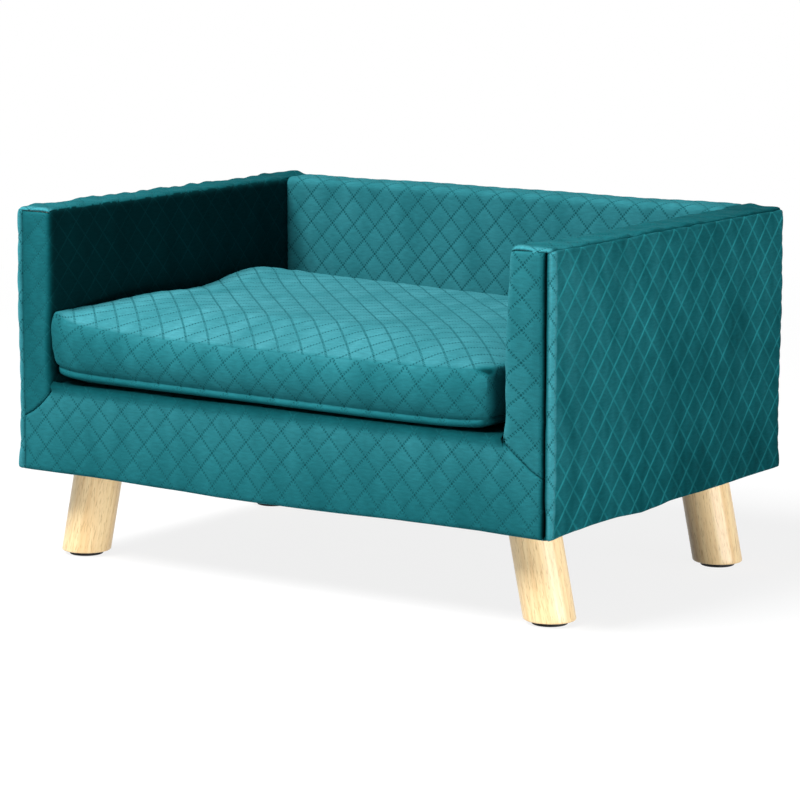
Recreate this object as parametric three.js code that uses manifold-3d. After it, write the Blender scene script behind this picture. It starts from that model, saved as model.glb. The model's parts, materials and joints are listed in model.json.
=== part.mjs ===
import * as THREE from 'three';
import { mergeVertices } from 'three/addons/utils/BufferGeometryUtils.js';
import Module from 'manifold-3d';

// A small pet sofa: a plywood frame, padded with foam and covered in quilted velvet, on four
// splayed wooden legs that screw in, with a loose boxed cushion between the arms.
// Millimetres, +Z up, front towards -Y, origin on the floor under the middle of the sofa.

const wasm = await Module();
wasm.setup();

// Overall sizes
const sofaWidth = 640;
const sofaDepth = 450;
const sofaHeight = 365;
const undersideHeight = 96;
const railHeight = 186;
const armThickness = 46;
const backThickness = 46;

// Clearance between neighbouring pieces, and how far a cutting solid runs past what it cuts
const fitGap = 0.3;
const overrun = 5;

// Velvet covers
const coverThickness = 2.5;
const cornerRadius = 10;
const topEdgeRadius = 6;
const sideSeamInset = 8;
const armSeamDrop = 31;
const deckFlapDepth = 60;
const dustCoverThickness = 0.8;
const coverArcSteps = 3;
const seamArcSteps = 6;

// Foam padding
const sideFoamThickness = 6;
const frontFoamThickness = 8;
const topFoamThickness = 8;

// Plywood and pine frame
const boardThickness = 15;
const seatBoardThickness = 12;
const cleatWidth = 18;
const cleatHeight = 30;
const braceWidth = 20;
const braceHeight = 40;
const legPlateSide = 65;
const legPlateThickness = 20;
const postSide = 24;

// Frame screws
const screwLength = 45;
const screwRadius = 2;
const screwHeadRadius = 4;
const screwHeadHeight = 3;
const screwEdgeDistance = 18;
const upperScrewTopDistance = 54;
const screwSides = 10;

// Legs, cut level at both ends
const legRadius = 25;
const legSplayDegrees = 12;
const legFootSideInset = 37;
const legFootEndInset = 62;
const legFootChamfer = 1.5;
const legSides = 32;

// Glides under the legs
const glideRadius = 17.5;
const glideThickness = 4;
const glideEdgeRadius = 1.2;
const glideNailRadius = 1.3;
const glideNailLength = 14;
const glideSides = 24;

// Screw-in leg fittings: an M8 hanger bolt, its flat washer and a tee nut
const boltRadius = 4;
const boltWoodLength = 30;
const boltTipLength = 6;
const boltEndChamfer = 0.8;
const boltThroughNut = 1.5;
const washerRadius = 11;
const washerThickness = 1.6;
const nutFlangeRadius = 9.5;
const nutFlangeThickness = 1.5;
const nutBarrelRadius = 5;
const nutBarrelLength = 9;
const boltSides = 16;

// Cushion
const cushionLeftGap = 2;
const cushionRightGap = 21;
const cushionRearGap = 12;
const cushionFrontRecess = 1;
const cushionCornerRadius = 5;
const boxingHeight = 45.5;
const boxingBulge = 4.5;
const sideDrawIn = 2;
const crownHeight = 19.7;
const leftShoulderPower = 60;
const rightShoulderPower = 12;
const frontShoulderPower = 8;
const rearShoulderPower = 30;
const topSeamLeftRise = 12;
const topSeamRightRise = 6;
const bottomSeamLeftRise = 8;
const bottomSeamRightRise = 5;
const seamRisePower = 4;
const seamFlatRearPower = 6;
const bottomCrownHeight = 10;
const bottomCrownInset = 20;
const bottomRollProud = 3;
const bottomRollDrop = 4;
const quiltDepth = 1.8;
const quiltDiamondWidth = 29;
const quiltDiamondDepth = 31;
const cushionCoverThickness = 3;
const foamGridColumns = 4;
const foamGridRows = 4;

// Cushion zip, on the middle of the rear boxing
const zipEndInset = 22.5;
const zipTapeHeight = 12;
const zipTapeThickness = 1;
const zipTapeRecess = 1.4;
const zipCoilHeight = 5.4;
const zipCoilProud = 1;
const sliderLength = 9.5;
const sliderHeight = 9;
const sliderWall = 1.3;
const sliderEndDistance = 12;
const sliderArchLength = 6.4;
const sliderArchHeight = 3.2;
const sliderArchWidth = 1.4;
const sliderArchBar = 1;
const pullLength = 20;
const pullWidth = 5;
const pullThickness = 1;
const pullEyeBar = 1;
const pullEyeLength = 5;

// Places worked out from the sizes above
const halfWidth = sofaWidth / 2;
const halfDepth = sofaDepth / 2;
const armInnerX = halfWidth - armThickness;
const backInnerY = halfDepth - backThickness;
const coverGap = coverThickness + fitGap;
const boardOuterX = halfWidth - coverGap - sideFoamThickness - fitGap;
const boardInnerX = boardOuterX - boardThickness;
const boardFrontY = -halfDepth + coverGap + frontFoamThickness + fitGap;
const boardRearY = halfDepth - coverGap - sideFoamThickness - fitGap;
const backBoardFrontY = boardRearY - boardThickness;
const frontBoardRearY = boardFrontY + boardThickness;
const boardTopZ = sofaHeight - coverGap - topFoamThickness - fitGap;
const frameBottomZ = undersideHeight + dustCoverThickness + fitGap;
const seatTopZ = railHeight - coverGap;
const seatBottomZ = seatTopZ - seatBoardThickness;
const bayHalfWidth = boardInnerX - fitGap;
const bayFrontY = frontBoardRearY + fitGap;
const bayRearY = backBoardFrontY - fitGap;
const bayTopZ = seatBottomZ - fitGap;
const legTopZ = undersideHeight - fitGap;
const legBottomZ = glideThickness + fitGap;
const legLean = Math.tan(THREE.MathUtils.degToRad(legSplayDegrees));
const legFootX = halfWidth - legFootSideInset;
const legFootY = halfDepth - legFootEndInset;
const legTopX = legFootX - (legTopZ - legBottomZ) * legLean;
const platesTopZ = frameBottomZ + legPlateThickness;

const corners = [
  { name: 'front_left', sideX: -1, sideY: -1 },
  { name: 'front_right', sideX: 1, sideY: -1 },
  { name: 'back_left', sideX: -1, sideY: 1 },
  { name: 'back_right', sideX: 1, sideY: 1 },
];
const sides = [
  { name: 'left', sideX: -1 },
  { name: 'right', sideX: 1 },
];

const velvet = { color: 0x24787c, roughness: 0.75, metalness: 0 };
const wadding = { color: 0xe9e4d2, roughness: 0.95, metalness: 0 };
const lining = { color: 0x1b1c1e, roughness: 0.95, metalness: 0 };
const plywood = { color: 0xc9a878, roughness: 0.8, metalness: 0 };
const pine = { color: 0xd9bd8c, roughness: 0.8, metalness: 0 };
const lacqueredWood = { color: 0xe3c795, roughness: 0.45, metalness: 0 };
const zincSteel = { color: 0xb9bcc0, roughness: 0.35, metalness: 1 };
const blackPlastic = { color: 0x141415, roughness: 0.6, metalness: 0 };
const zipTape = { color: 0x155a60, roughness: 0.7, metalness: 0 };

// Turns a closed three.js geometry into a solid that can be joined and cut.
function solidOf(geometry) {
  geometry.deleteAttribute('normal');
  geometry.deleteAttribute('uv');
  const merged = mergeVertices(geometry);
  return new wasm.Manifold(
    new wasm.Mesh({
      numProp: 3,
      vertProperties: new Float32Array(merged.attributes.position.array),
      triVerts: new Uint32Array(merged.index.array),
    }),
  );
}

// Turns a solid back into a geometry that a mesh can show.
function geometryOf(solid) {
  const mesh = solid.getMesh();
  const geometry = new THREE.BufferGeometry();
  geometry.setAttribute('position', new THREE.BufferAttribute(new Float32Array(mesh.vertProperties), 3));
  geometry.setIndex(new THREE.BufferAttribute(new Uint32Array(mesh.triVerts), 1));
  geometry.computeVertexNormals();
  return geometry;
}

function join(solids) {
  return solids.reduce((whole, solid) => whole.add(solid));
}

function cut(solid, cutters) {
  return cutters.reduce((rest, cutter) => rest.subtract(cutter), solid);
}

// A block between two corners, given as [x, y, z], grown on all sides by grow.
function block(low, high, grow = 0) {
  const size = high.map((value, axis) => value - low[axis] + 2 * grow);
  const middle = high.map((value, axis) => (value + low[axis]) / 2);
  return solidOf(new THREE.BoxGeometry(...size).translate(...middle));
}

// The same block on the left or right side of the sofa.
function sideBlock(sideX, low, high, grow = 0) {
  const x = [low[0] * sideX, high[0] * sideX].sort((a, b) => a - b);
  return block([x[0], low[1], low[2]], [x[1], high[1], high[2]], grow);
}

// An upright round bar between two heights.
function uprightBar(x, y, lowZ, highZ, radius, barSides) {
  const bar = new THREE.CylinderGeometry(radius, radius, highZ - lowZ, barSides);
  bar.rotateX(Math.PI / 2);
  return solidOf(bar.translate(x, y, (highZ + lowZ) / 2));
}

// A turned piece about its own Z axis, from [radius, height] points.
function turned(points, turnedSides) {
  const profile = points.map(([radius, height]) => new THREE.Vector2(radius, height));
  return solidOf(new THREE.LatheGeometry(profile, turnedSides).rotateX(Math.PI / 2));
}

function roundedOutline(lowX, lowY, highX, highY, radius) {
  const outline = new THREE.Shape();
  outline.absarc(highX - radius, lowY + radius, radius, -Math.PI / 2, 0, false);
  outline.absarc(highX - radius, highY - radius, radius, 0, Math.PI / 2, false);
  outline.absarc(lowX + radius, highY - radius, radius, Math.PI / 2, Math.PI, false);
  outline.absarc(lowX + radius, lowY + radius, radius, Math.PI, Math.PI * 1.5, false);
  return outline;
}

// An upholstered block: rounded upright corners, rounded top edges and a flat bottom.
function softBlock(low, high, inset) {
  const edge = topEdgeRadius - inset;
  const outline = roundedOutline(low[0] + edge, low[1] + edge, high[0] - edge, high[1] - edge,
    cornerRadius - inset - edge);
  const tall = new THREE.ExtrudeGeometry(outline, {
    depth: high[2] - low[2],
    curveSegments: coverArcSteps,
    bevelEnabled: true,
    bevelSize: edge,
    bevelThickness: edge,
    bevelSegments: coverArcSteps,
  });
  tall.translate(0, 0, low[2] - edge);
  const bottom = block([low[0] - overrun, low[1] - overrun, low[2] - 2 * edge - overrun],
    [high[0] + overrun, high[1] + overrun, low[2]]);
  return solidOf(tall).subtract(bottom);
}

// The whole upholstered body, with every face moved in by inset, standing on bottomZ.
function bodyForm(inset, bottomZ) {
  const innerX = armInnerX + inset;
  const outerX = halfWidth - inset;
  const hiddenEndX = halfWidth - armThickness / 2;
  const frontY = -halfDepth + inset;
  const rearY = halfDepth - inset;
  const topZ = sofaHeight - inset;
  const arms = sides.map(({ sideX }) => {
    const x = [innerX * sideX, outerX * sideX].sort((a, b) => a - b);
    return softBlock([x[0], frontY, bottomZ], [x[1], rearY, topZ], inset);
  });
  const back = softBlock([-hiddenEndX, backInnerY + inset, bottomZ], [hiddenEndX, rearY, topZ], inset);
  const seat = softBlock([-hiddenEndX, frontY, bottomZ],
    [hiddenEndX, halfDepth - backThickness / 2, railHeight - inset], inset);
  return join([...arms, back, seat]);
}

// The front panel's outline seen from the front: it ends at the upright side seams, and at the
// foot of each arm its seam falls in a quarter ellipse from the rail to the side seam.
function frontPanelBlock(grow) {
  const seamX = halfWidth - sideSeamInset;
  const reach = seamX - armInnerX;
  const outline = new THREE.Shape();
  outline.moveTo(seamX + grow, undersideHeight - overrun);
  for (let step = 0; step <= seamArcSteps; step += 1) {
    const angle = (step / seamArcSteps) * Math.PI / 2;
    const x = seamX + grow - reach * Math.sin(angle);
    outline.lineTo(x, railHeight + grow - armSeamDrop * Math.cos(angle));
  }
  outline.lineTo(armInnerX + grow, railHeight + overrun);
  outline.lineTo(-armInnerX - grow, railHeight + overrun);
  for (let step = seamArcSteps; step >= 0; step -= 1) {
    const angle = (step / seamArcSteps) * Math.PI / 2;
    const x = -seamX - grow + reach * Math.sin(angle);
    outline.lineTo(x, railHeight + grow - armSeamDrop * Math.cos(angle));
  }
  outline.lineTo(-seamX - grow, undersideHeight - overrun);
  const panel = new THREE.ExtrudeGeometry(outline, { depth: overrun + cornerRadius, bevelEnabled: false });
  panel.rotateX(Math.PI / 2);
  return solidOf(panel.translate(0, -halfDepth + cornerRadius, 0));
}

const group = new THREE.Group();

function addPiece(name, solid, material, parent = group) {
  const mesh = new THREE.Mesh(geometryOf(solid), new THREE.MeshStandardMaterial(material));
  mesh.name = name;
  parent.add(mesh);
  return mesh;
}

// Screw places: through each side board into the ends of the front and the back board
const screwPlaces = sides.flatMap(({ sideX }) => {
  const frontY = (boardFrontY + frontBoardRearY) / 2;
  const backY = (backBoardFrontY + boardRearY) / 2;
  return [
    { sideX, y: frontY, z: frameBottomZ + screwEdgeDistance },
    { sideX, y: frontY, z: bayTopZ - screwEdgeDistance },
    { sideX, y: backY, z: frameBottomZ + screwEdgeDistance },
    { sideX, y: backY, z: boardTopZ - upperScrewTopDistance },
  ];
});

// A countersunk wood screw pointing inwards, grown by grow to make its hole.
function screwSolid({ sideX, y, z }, grow) {
  const screw = turned([
    [0, -grow],
    [screwHeadRadius + grow, -grow],
    [screwRadius + grow, screwHeadHeight],
    [screwRadius + grow, screwLength - screwHeadHeight],
    [0, screwLength + grow],
  ], screwSides);
  const level = geometryOf(screw).rotateY(-sideX * Math.PI / 2);
  return solidOf(level.translate(sideX * boardOuterX, y, z));
}

const screwHoles = screwPlaces.map((place) => screwSolid(place, fitGap));

// Plywood boards: two sides, the front and the back between them, and the seat on top
function sideBoardSolid(sideX, grow = 0) {
  return sideBlock(sideX, [boardInnerX, boardFrontY, frameBottomZ], [boardOuterX, boardRearY, boardTopZ], grow);
}

function backBoardSolid(grow = 0) {
  return block([-bayHalfWidth, backBoardFrontY, frameBottomZ], [bayHalfWidth, boardRearY, boardTopZ], grow);
}

function addBoards() {
  for (const { name, sideX } of sides) {
    addPiece(`side_board_${name}`, cut(sideBoardSolid(sideX), screwHoles), plywood);
  }
  const front = block([-bayHalfWidth, boardFrontY, frameBottomZ], [bayHalfWidth, frontBoardRearY, bayTopZ]);
  addPiece('front_board', cut(front, screwHoles), plywood);
  addPiece('back_board', cut(backBoardSolid(), screwHoles), plywood);
  const seat = block([-bayHalfWidth, boardFrontY, seatBottomZ], [bayHalfWidth, bayRearY, seatTopZ]);
  addPiece('seat_board', seat, plywood);
}

function addScrews() {
  screwPlaces.forEach((place, index) => {
    addPiece(`frame_screw_${index + 1}`, screwSolid(place, 0), zincSteel);
  });
}

// Pine bearers under the seat board: a cleat on each side, a middle brace and four corner posts
function addBearers() {
  const postInnerX = bayHalfWidth - postSide;
  for (const { name, sideX } of sides) {
    const cleat = sideBlock(sideX,
      [bayHalfWidth - cleatWidth, bayFrontY + legPlateSide + fitGap, bayTopZ - cleatHeight],
      [bayHalfWidth, bayRearY - legPlateSide - fitGap, bayTopZ]);
    addPiece(`side_cleat_${name}`, cleat, pine);
  }
  const brace = block([-braceWidth / 2, bayFrontY, bayTopZ - braceHeight], [braceWidth / 2, bayRearY, bayTopZ]);
  addPiece('centre_brace', brace, pine);
  for (const { name, sideX, sideY } of corners) {
    const lowY = sideY < 0 ? bayFrontY : bayRearY - postSide;
    const post = sideBlock(sideX, [postInnerX, lowY, platesTopZ + fitGap], [bayHalfWidth, lowY + postSide, bayTopZ]);
    addPiece(`corner_post_${name}`, post, pine);
  }
}

// Pine plates in the bottom corners, each with a tee nut pressed in from above
function addLegPlates() {
  const barrelRoom = nutBarrelRadius + fitGap;
  const flangeBottom = platesTopZ + fitGap;
  for (const { name, sideX, sideY } of corners) {
    const x = sideX * legTopX;
    const y = sideY * legFootY;
    const lowY = sideY < 0 ? bayFrontY : bayRearY - legPlateSide;
    const plate = sideBlock(sideX, [bayHalfWidth - legPlateSide, lowY, frameBottomZ],
      [bayHalfWidth, lowY + legPlateSide, platesTopZ]);
    const hole = uprightBar(x, y, frameBottomZ - overrun, platesTopZ + overrun, barrelRoom, boltSides);
    addPiece(`leg_plate_${name}`, plate.subtract(hole), pine);

    const flange = uprightBar(x, y, flangeBottom, flangeBottom + nutFlangeThickness, nutFlangeRadius, boltSides);
    const barrel = uprightBar(x, y, flangeBottom - nutBarrelLength, flangeBottom + nutFlangeThickness,
      nutBarrelRadius, boltSides);
    const bore = uprightBar(x, y, flangeBottom - nutBarrelLength - overrun,
      flangeBottom + nutFlangeThickness + overrun, boltRadius + fitGap, boltSides);
    addPiece(`tee_nut_${name}`, flange.add(barrel).subtract(bore), zincSteel);
  }
}

// Foam glued round the boards: one wrap for each arm, one for the back and one for the front
function addFoam() {
  const form = bodyForm(coverGap, frameBottomZ);
  const bay = block([-boardInnerX - fitGap, boardFrontY - fitGap, frameBottomZ - overrun],
    [boardInnerX + fitGap, backBoardFrontY + fitGap, seatTopZ + fitGap]);
  const boards = [sideBoardSolid(-1, fitGap), sideBoardSolid(1, fitGap), backBoardSolid(fitGap), bay];
  const frontSlab = (grow) => block([-halfWidth, -halfDepth - overrun, frameBottomZ - overrun],
    [halfWidth, boardFrontY - fitGap + grow, seatTopZ + grow]);
  const armEdgeX = armInnerX + coverThickness;

  for (const { name, sideX } of sides) {
    const armSide = sideBlock(sideX, [armEdgeX, -halfDepth, 0], [halfWidth, halfDepth, sofaHeight]);
    addPiece(`arm_foam_${name}`, cut(form.intersect(armSide), [...boards, frontSlab(fitGap)]), wadding);
  }
  const backPart = block([-armEdgeX + fitGap, backInnerY, 0], [armEdgeX - fitGap, halfDepth, sofaHeight]);
  addPiece('back_foam', cut(form.intersect(backPart), boards), wadding);
  addPiece('front_foam', form.intersect(frontSlab(0)), wadding);
}

// Velvet covers, sewn as a front panel, two arms and a back, with a plain cloth on the deck
function addCovers() {
  const shell = bodyForm(0, undersideHeight).subtract(bodyForm(coverThickness, undersideHeight - overrun));
  const deckHalfWidth = armInnerX - fitGap;
  const deckLowZ = railHeight - coverThickness - overrun;
  const flapRearY = -halfDepth + deckFlapDepth;
  const flap = block([-deckHalfWidth, -halfDepth - overrun, deckLowZ],
    [deckHalfWidth, flapRearY, railHeight + overrun]);
  addPiece('front_cover', shell.intersect(frontPanelBlock(0).add(flap)), velvet);

  for (const { name, sideX } of sides) {
    const armSide = sideBlock(sideX, [armInnerX, -halfDepth - overrun, 0],
      [halfWidth + overrun, halfDepth + overrun, sofaHeight + overrun]);
    addPiece(`arm_cover_${name}`, shell.intersect(armSide).subtract(frontPanelBlock(fitGap)), velvet);
  }
  const backPart = block([-deckHalfWidth, backInnerY, 0],
    [deckHalfWidth, halfDepth + overrun, sofaHeight + overrun]);
  addPiece('back_cover', shell.intersect(backPart), velvet);

  const deckPart = block([-deckHalfWidth, flapRearY + fitGap, deckLowZ],
    [deckHalfWidth, backInnerY - fitGap, railHeight + overrun]);
  addPiece('deck_cover', shell.intersect(deckPart), lining);

  const dustOutline = roundedOutline(-halfWidth + coverGap, -halfDepth + coverGap,
    halfWidth - coverGap, halfDepth - coverGap, cornerRadius - coverThickness);
  const dustSheet = new THREE.ExtrudeGeometry(dustOutline,
    { depth: dustCoverThickness, curveSegments: coverArcSteps, bevelEnabled: false });
  const dust = solidOf(dustSheet.translate(0, 0, undersideHeight));
  const boltHoles = corners.map(({ sideX, sideY }) => uprightBar(sideX * legTopX, sideY * legFootY,
    undersideHeight - overrun, undersideHeight + overrun, nutBarrelRadius + fitGap, boltSides));
  addPiece('dust_cover', cut(dust, boltHoles), lining);
}

// One leg splayed towards +X. Both ends are cut level, so every level section is the same ellipse,
// shifted outwards towards the foot. Its own origin is on the bolt's line at the leg's top.
function legSolid() {
  const height = legTopZ - legBottomZ;
  const blank = geometryOf(turned([
    [0, -height],
    [legRadius - legFootChamfer, -height],
    [legRadius, -height + legFootChamfer],
    [legRadius, 0],
    [0, 0],
  ], legSides));
  const stretch = 1 / Math.cos(THREE.MathUtils.degToRad(legSplayDegrees));
  blank.scale(stretch, 1, 1);
  blank.applyMatrix4(new THREE.Matrix4().makeShear(0, 0, 0, 0, -legLean, 0));
  const washerRoom = uprightBar(0, 0, -washerThickness - fitGap, overrun, washerRadius + fitGap, legSides);
  const boltRoom = uprightBar(0, 0, -boltWoodLength - fitGap, overrun, boltRadius + fitGap, boltSides);
  const nailRoom = uprightBar(legFootX - legTopX, 0, -height - overrun,
    -height + glideNailLength + fitGap, glideNailRadius + fitGap, screwSides);
  return cut(solidOf(blank), [washerRoom, boltRoom, nailRoom]);
}

// The hanger bolt stands upright: a pointed wood end in the leg and a machine end in the tee nut.
function boltSolid() {
  const top = platesTopZ + fitGap + nutFlangeThickness + boltThroughNut - legTopZ;
  return turned([
    [0, -boltWoodLength],
    [boltRadius, -boltWoodLength + boltTipLength],
    [boltRadius, top - boltEndChamfer],
    [boltRadius - boltEndChamfer, top],
    [0, top],
  ], boltSides);
}

function washerSolid() {
  const disc = uprightBar(0, 0, -washerThickness, 0, washerRadius, legSides);
  return disc.subtract(uprightBar(0, 0, -washerThickness - overrun, overrun, boltRadius + fitGap, boltSides));
}

// A nail-on glide: a flat black disc with a soft edge, and its nail in the foot of the leg
function glideSolid() {
  const footZ = -legTopZ;
  const disc = turned([
    [0, 0],
    [glideRadius - glideEdgeRadius, 0],
    [glideRadius, glideEdgeRadius],
    [glideRadius, glideThickness],
    [0, glideThickness],
  ], glideSides);
  const nail = uprightBar(0, 0, glideThickness / 2, legBottomZ + glideNailLength, glideNailRadius, screwSides);
  const glide = geometryOf(disc.add(nail));
  return solidOf(glide.translate(legFootX - legTopX, 0, footZ));
}

function addLegs() {
  const pieces = [
    ['leg', legSolid(), lacqueredWood],
    ['hanger_bolt', boltSolid(), zincSteel],
    ['leg_washer', washerSolid(), zincSteel],
    ['glide', glideSolid(), blackPlastic],
  ];
  for (const { name, sideX, sideY } of corners) {
    const legGroup = new THREE.Group();
    legGroup.position.set(sideX * legTopX, sideY * legFootY, legTopZ);
    legGroup.rotation.z = sideX > 0 ? 0 : Math.PI;
    for (const [piece, solid, material] of pieces) {
      addPiece(`${piece}_${name}`, solid, material, legGroup);
    }
    group.add(legGroup);
  }
}

// Cushion levels and plan. The cushion lies close to the left arm, with its wider gap at the right.
const cushionHalfWidth = armInnerX - (cushionLeftGap + cushionRightGap) / 2;
const cushionMiddleX = (cushionLeftGap - cushionRightGap) / 2;
const cushionFrontY = -halfDepth + cushionFrontRecess;
const cushionRearY = backInnerY - cushionRearGap;
const cushionBottomZ = railHeight + fitGap;
const bottomSeamZ = cushionBottomZ + bottomCrownHeight;
const topSeamZ = bottomSeamZ + boxingHeight;
const cushionMiddleY = (cushionFrontY + cushionRearY) / 2;
const seamHalfX = cushionHalfWidth - boxingBulge;
const seamHalfY = (cushionRearY - cushionFrontY) / 2 - boxingBulge;

// A point of the cushion's plan. u and v run from -1 to 1 over the seam's rectangle. The corners
// are rounded, and the front and the two ends draw in between them; the zip keeps the rear straight.
function planPoint(u, v, halfX, halfY, radius) {
  let x = u * halfX;
  let y = v * halfY;
  const cornerX = Math.max(0, Math.abs(x) - halfX + radius);
  const cornerY = Math.max(0, Math.abs(y) - halfY + radius);
  if (cornerX > 0 && cornerY > 0) {
    const pull = 1 - Math.max(cornerX, cornerY) / Math.hypot(cornerX, cornerY);
    x -= Math.sign(x) * cornerX * pull;
    y -= Math.sign(y) * cornerY * pull;
  }
  x -= Math.sign(x) * sideDrawIn * u * u * (1 - v * v);
  if (v < 0) {
    y += sideDrawIn * v * v * (1 - u * u);
  }
  return [x + cushionMiddleX, y + cushionMiddleY];
}

// How far a seam has risen at a point, where the ends of the cushion curl up off the deck. The
// zip keeps the rear level.
function seamRise(u, v, leftRise, rightRise) {
  const levelShare = Math.max(v, 0) ** seamFlatRearPower;
  return (u < 0 ? leftRise : rightRise) * Math.abs(u) ** seamRisePower * (1 - levelShare);
}

// The share of the crown's height at a point: steep at the left and the rear, softer at the front
function shoulderShare(u, v) {
  const acrossPower = u < 0 ? leftShoulderPower : rightShoulderPower;
  const alongPower = v < 0 ? frontShoulderPower : rearShoulderPower;
  return (1 - Math.abs(u) ** acrossPower) * (1 - Math.abs(v) ** alongPower);
}

// The cushion's form, with every face moved in by inset: a crowned top over a grid of points,
// boxing that bulges between its two seams, and a bottom that flattens where it lies on the deck.
// Both seams rise towards the ends of the cushion. The cover itself has a roll below its lower seam.
// With depth, the top is quilted in diamonds: grid points alternate between crossings of the
// stitched lines, which are low, and diamond centres, which stay high. Below the top seam the
// rings keep one point in ringStep.
function cushionForm(inset, columns, rows, depth, ringStep) {
  const halfX = seamHalfX - inset;
  const halfY = seamHalfY - inset;
  const radius = cushionCornerRadius - inset;
  const positions = [];
  const index = [];
  const at = (column, row) => row * (columns + 1) + column;

  for (let row = 0; row <= rows; row += 1) {
    for (let column = 0; column <= columns; column += 1) {
      const u = (2 * column) / columns - 1;
      const v = (2 * row) / rows - 1;
      const onSeam = column === 0 || row === 0 || column === columns || row === rows;
      const [x, y] = planPoint(u, v, halfX, halfY, radius);
      const rise = seamRise(u, v, topSeamLeftRise, topSeamRightRise);
      const swell = rise + (crownHeight - rise) * shoulderShare(u, v);
      const low = !onSeam && (column + row) % 2 === 0 ? depth : 0;
      positions.push(x, y, topSeamZ - inset + swell - low);
    }
  }
  for (let row = 0; row < rows; row += 1) {
    for (let column = 0; column < columns; column += 1) {
      const a = at(column, row);
      const b = at(column + 1, row);
      const c = at(column + 1, row + 1);
      const d = at(column, row + 1);
      if ((column + row) % 2 === 0) {
        index.push(a, b, c, a, c, d);
      } else {
        index.push(a, b, d, b, c, d);
      }
    }
  }

  const edge = [];
  for (let column = 0; column < columns; column += 1) {
    edge.push([column, 0]);
  }
  for (let row = 0; row < rows; row += 1) {
    edge.push([columns, row]);
  }
  for (let column = columns; column > 0; column -= 1) {
    edge.push([column, rows]);
  }
  for (let row = rows; row > 0; row -= 1) {
    edge.push([0, row]);
  }

  const roll = { grow: bottomRollProud, z: bottomSeamZ - bottomRollDrop, upperShare: 0, lowerShare: 1 };
  const levels = [
    { grow: boxingBulge, z: (topSeamZ + bottomSeamZ) / 2, upperShare: 0.5, lowerShare: 0.5 },
    { grow: 0, z: bottomSeamZ + inset, upperShare: 0, lowerShare: 1 },
    ...(inset === 0 ? [roll] : []),
    { grow: -bottomCrownInset, z: cushionBottomZ + inset, upperShare: 0, lowerShare: 0 },
  ];
  const rings = levels.map(({ grow, z, upperShare, lowerShare }) => {
    const start = positions.length / 3;
    const kept = edge.filter((point, order) => order % ringStep === 0);
    for (const [column, row] of kept) {
      const u = (2 * column) / columns - 1;
      const v = (2 * row) / rows - 1;
      const ringRadius = Math.max(radius + grow, radius / 2);
      const [x, y] = planPoint(u, v, halfX + grow, halfY + grow, ringRadius);
      const rise = upperShare * seamRise(u, v, topSeamLeftRise, topSeamRightRise)
        + lowerShare * seamRise(u, v, bottomSeamLeftRise, bottomSeamRightRise);
      positions.push(x, y, z + rise);
    }
    return kept.map((point, order) => start + order);
  });

  const seam = edge.map(([column, row]) => at(column, row));
  const first = rings[0];
  for (let order = 0; order < first.length; order += 1) {
    const next = first[(order + 1) % first.length];
    for (let step = 0; step < ringStep; step += 1) {
      const from = seam[order * ringStep + step];
      const to = seam[(order * ringStep + step + 1) % seam.length];
      index.push(first[order], to, from);
    }
    index.push(first[order], next, seam[((order + 1) * ringStep) % seam.length]);
  }
  for (let level = 1; level < rings.length; level += 1) {
    const above = rings[level - 1];
    const below = rings[level];
    for (let order = 0; order < above.length; order += 1) {
      const after = (order + 1) % above.length;
      index.push(below[order], above[after], above[order]);
      index.push(below[order], below[after], above[after]);
    }
  }
  const last = rings[rings.length - 1];
  const middle = positions.length / 3;
  positions.push(cushionMiddleX, cushionMiddleY, cushionBottomZ + inset);
  for (let order = 0; order < last.length; order += 1) {
    index.push(middle, last[(order + 1) % last.length], last[order]);
  }

  const geometry = new THREE.BufferGeometry();
  geometry.setAttribute('position', new THREE.BufferAttribute(new Float32Array(positions), 3));
  geometry.setIndex(index);
  return solidOf(geometry);
}

// Zip places on the rear boxing
const zipHalfLength = cushionHalfWidth - zipEndInset;
const zipLeftX = cushionMiddleX - zipHalfLength;
const zipRightX = cushionMiddleX + zipHalfLength;
const zipFaceY = cushionRearY;
const zipMiddleZ = (topSeamZ + bottomSeamZ) / 2;
const tapeFaceY = zipFaceY - zipTapeRecess;
const coilFaceY = zipFaceY + zipCoilProud;
const sliderFaceY = coilFaceY + fitGap + sliderWall;
const sliderX = zipRightX - sliderEndDistance;
const pullAxisY = sliderFaceY + (sliderArchHeight - sliderArchBar) / 2;

function addCushion() {
  const columns = 2 * Math.round((2 * seamHalfX) / quiltDiamondWidth);
  const rows = 2 * Math.round((2 * seamHalfY) / quiltDiamondDepth);
  const outside = cushionForm(0, columns, rows, quiltDepth, 2);
  const pocket = cushionForm(cushionCoverThickness, foamGridColumns, foamGridRows, 0, 1);
  const zipSlot = block(
    [zipLeftX, zipFaceY - cushionCoverThickness - overrun, zipMiddleZ - zipTapeHeight / 2],
    [zipRightX, zipFaceY + overrun, zipMiddleZ + zipTapeHeight / 2],
  );
  addPiece('cushion_cover', cut(outside, [pocket, zipSlot]), velvet);
  addPiece('cushion_foam',
    cushionForm(cushionCoverThickness + fitGap, foamGridColumns, foamGridRows, 0, 1), wadding);
}

function addZip() {
  const tapeLeftX = zipLeftX + fitGap;
  const tapeRightX = zipRightX - fitGap;
  const tapeHalfHeight = zipTapeHeight / 2 - fitGap;
  const tape = block([tapeLeftX, tapeFaceY - zipTapeThickness, zipMiddleZ - tapeHalfHeight],
    [tapeRightX, tapeFaceY, zipMiddleZ + tapeHalfHeight]);
  const coil = block([tapeLeftX, tapeFaceY - zipTapeThickness / 2, zipMiddleZ - zipCoilHeight / 2],
    [tapeRightX, coilFaceY, zipMiddleZ + zipCoilHeight / 2]);
  addPiece('cushion_zip', tape.add(coil), zipTape);
}

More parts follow.
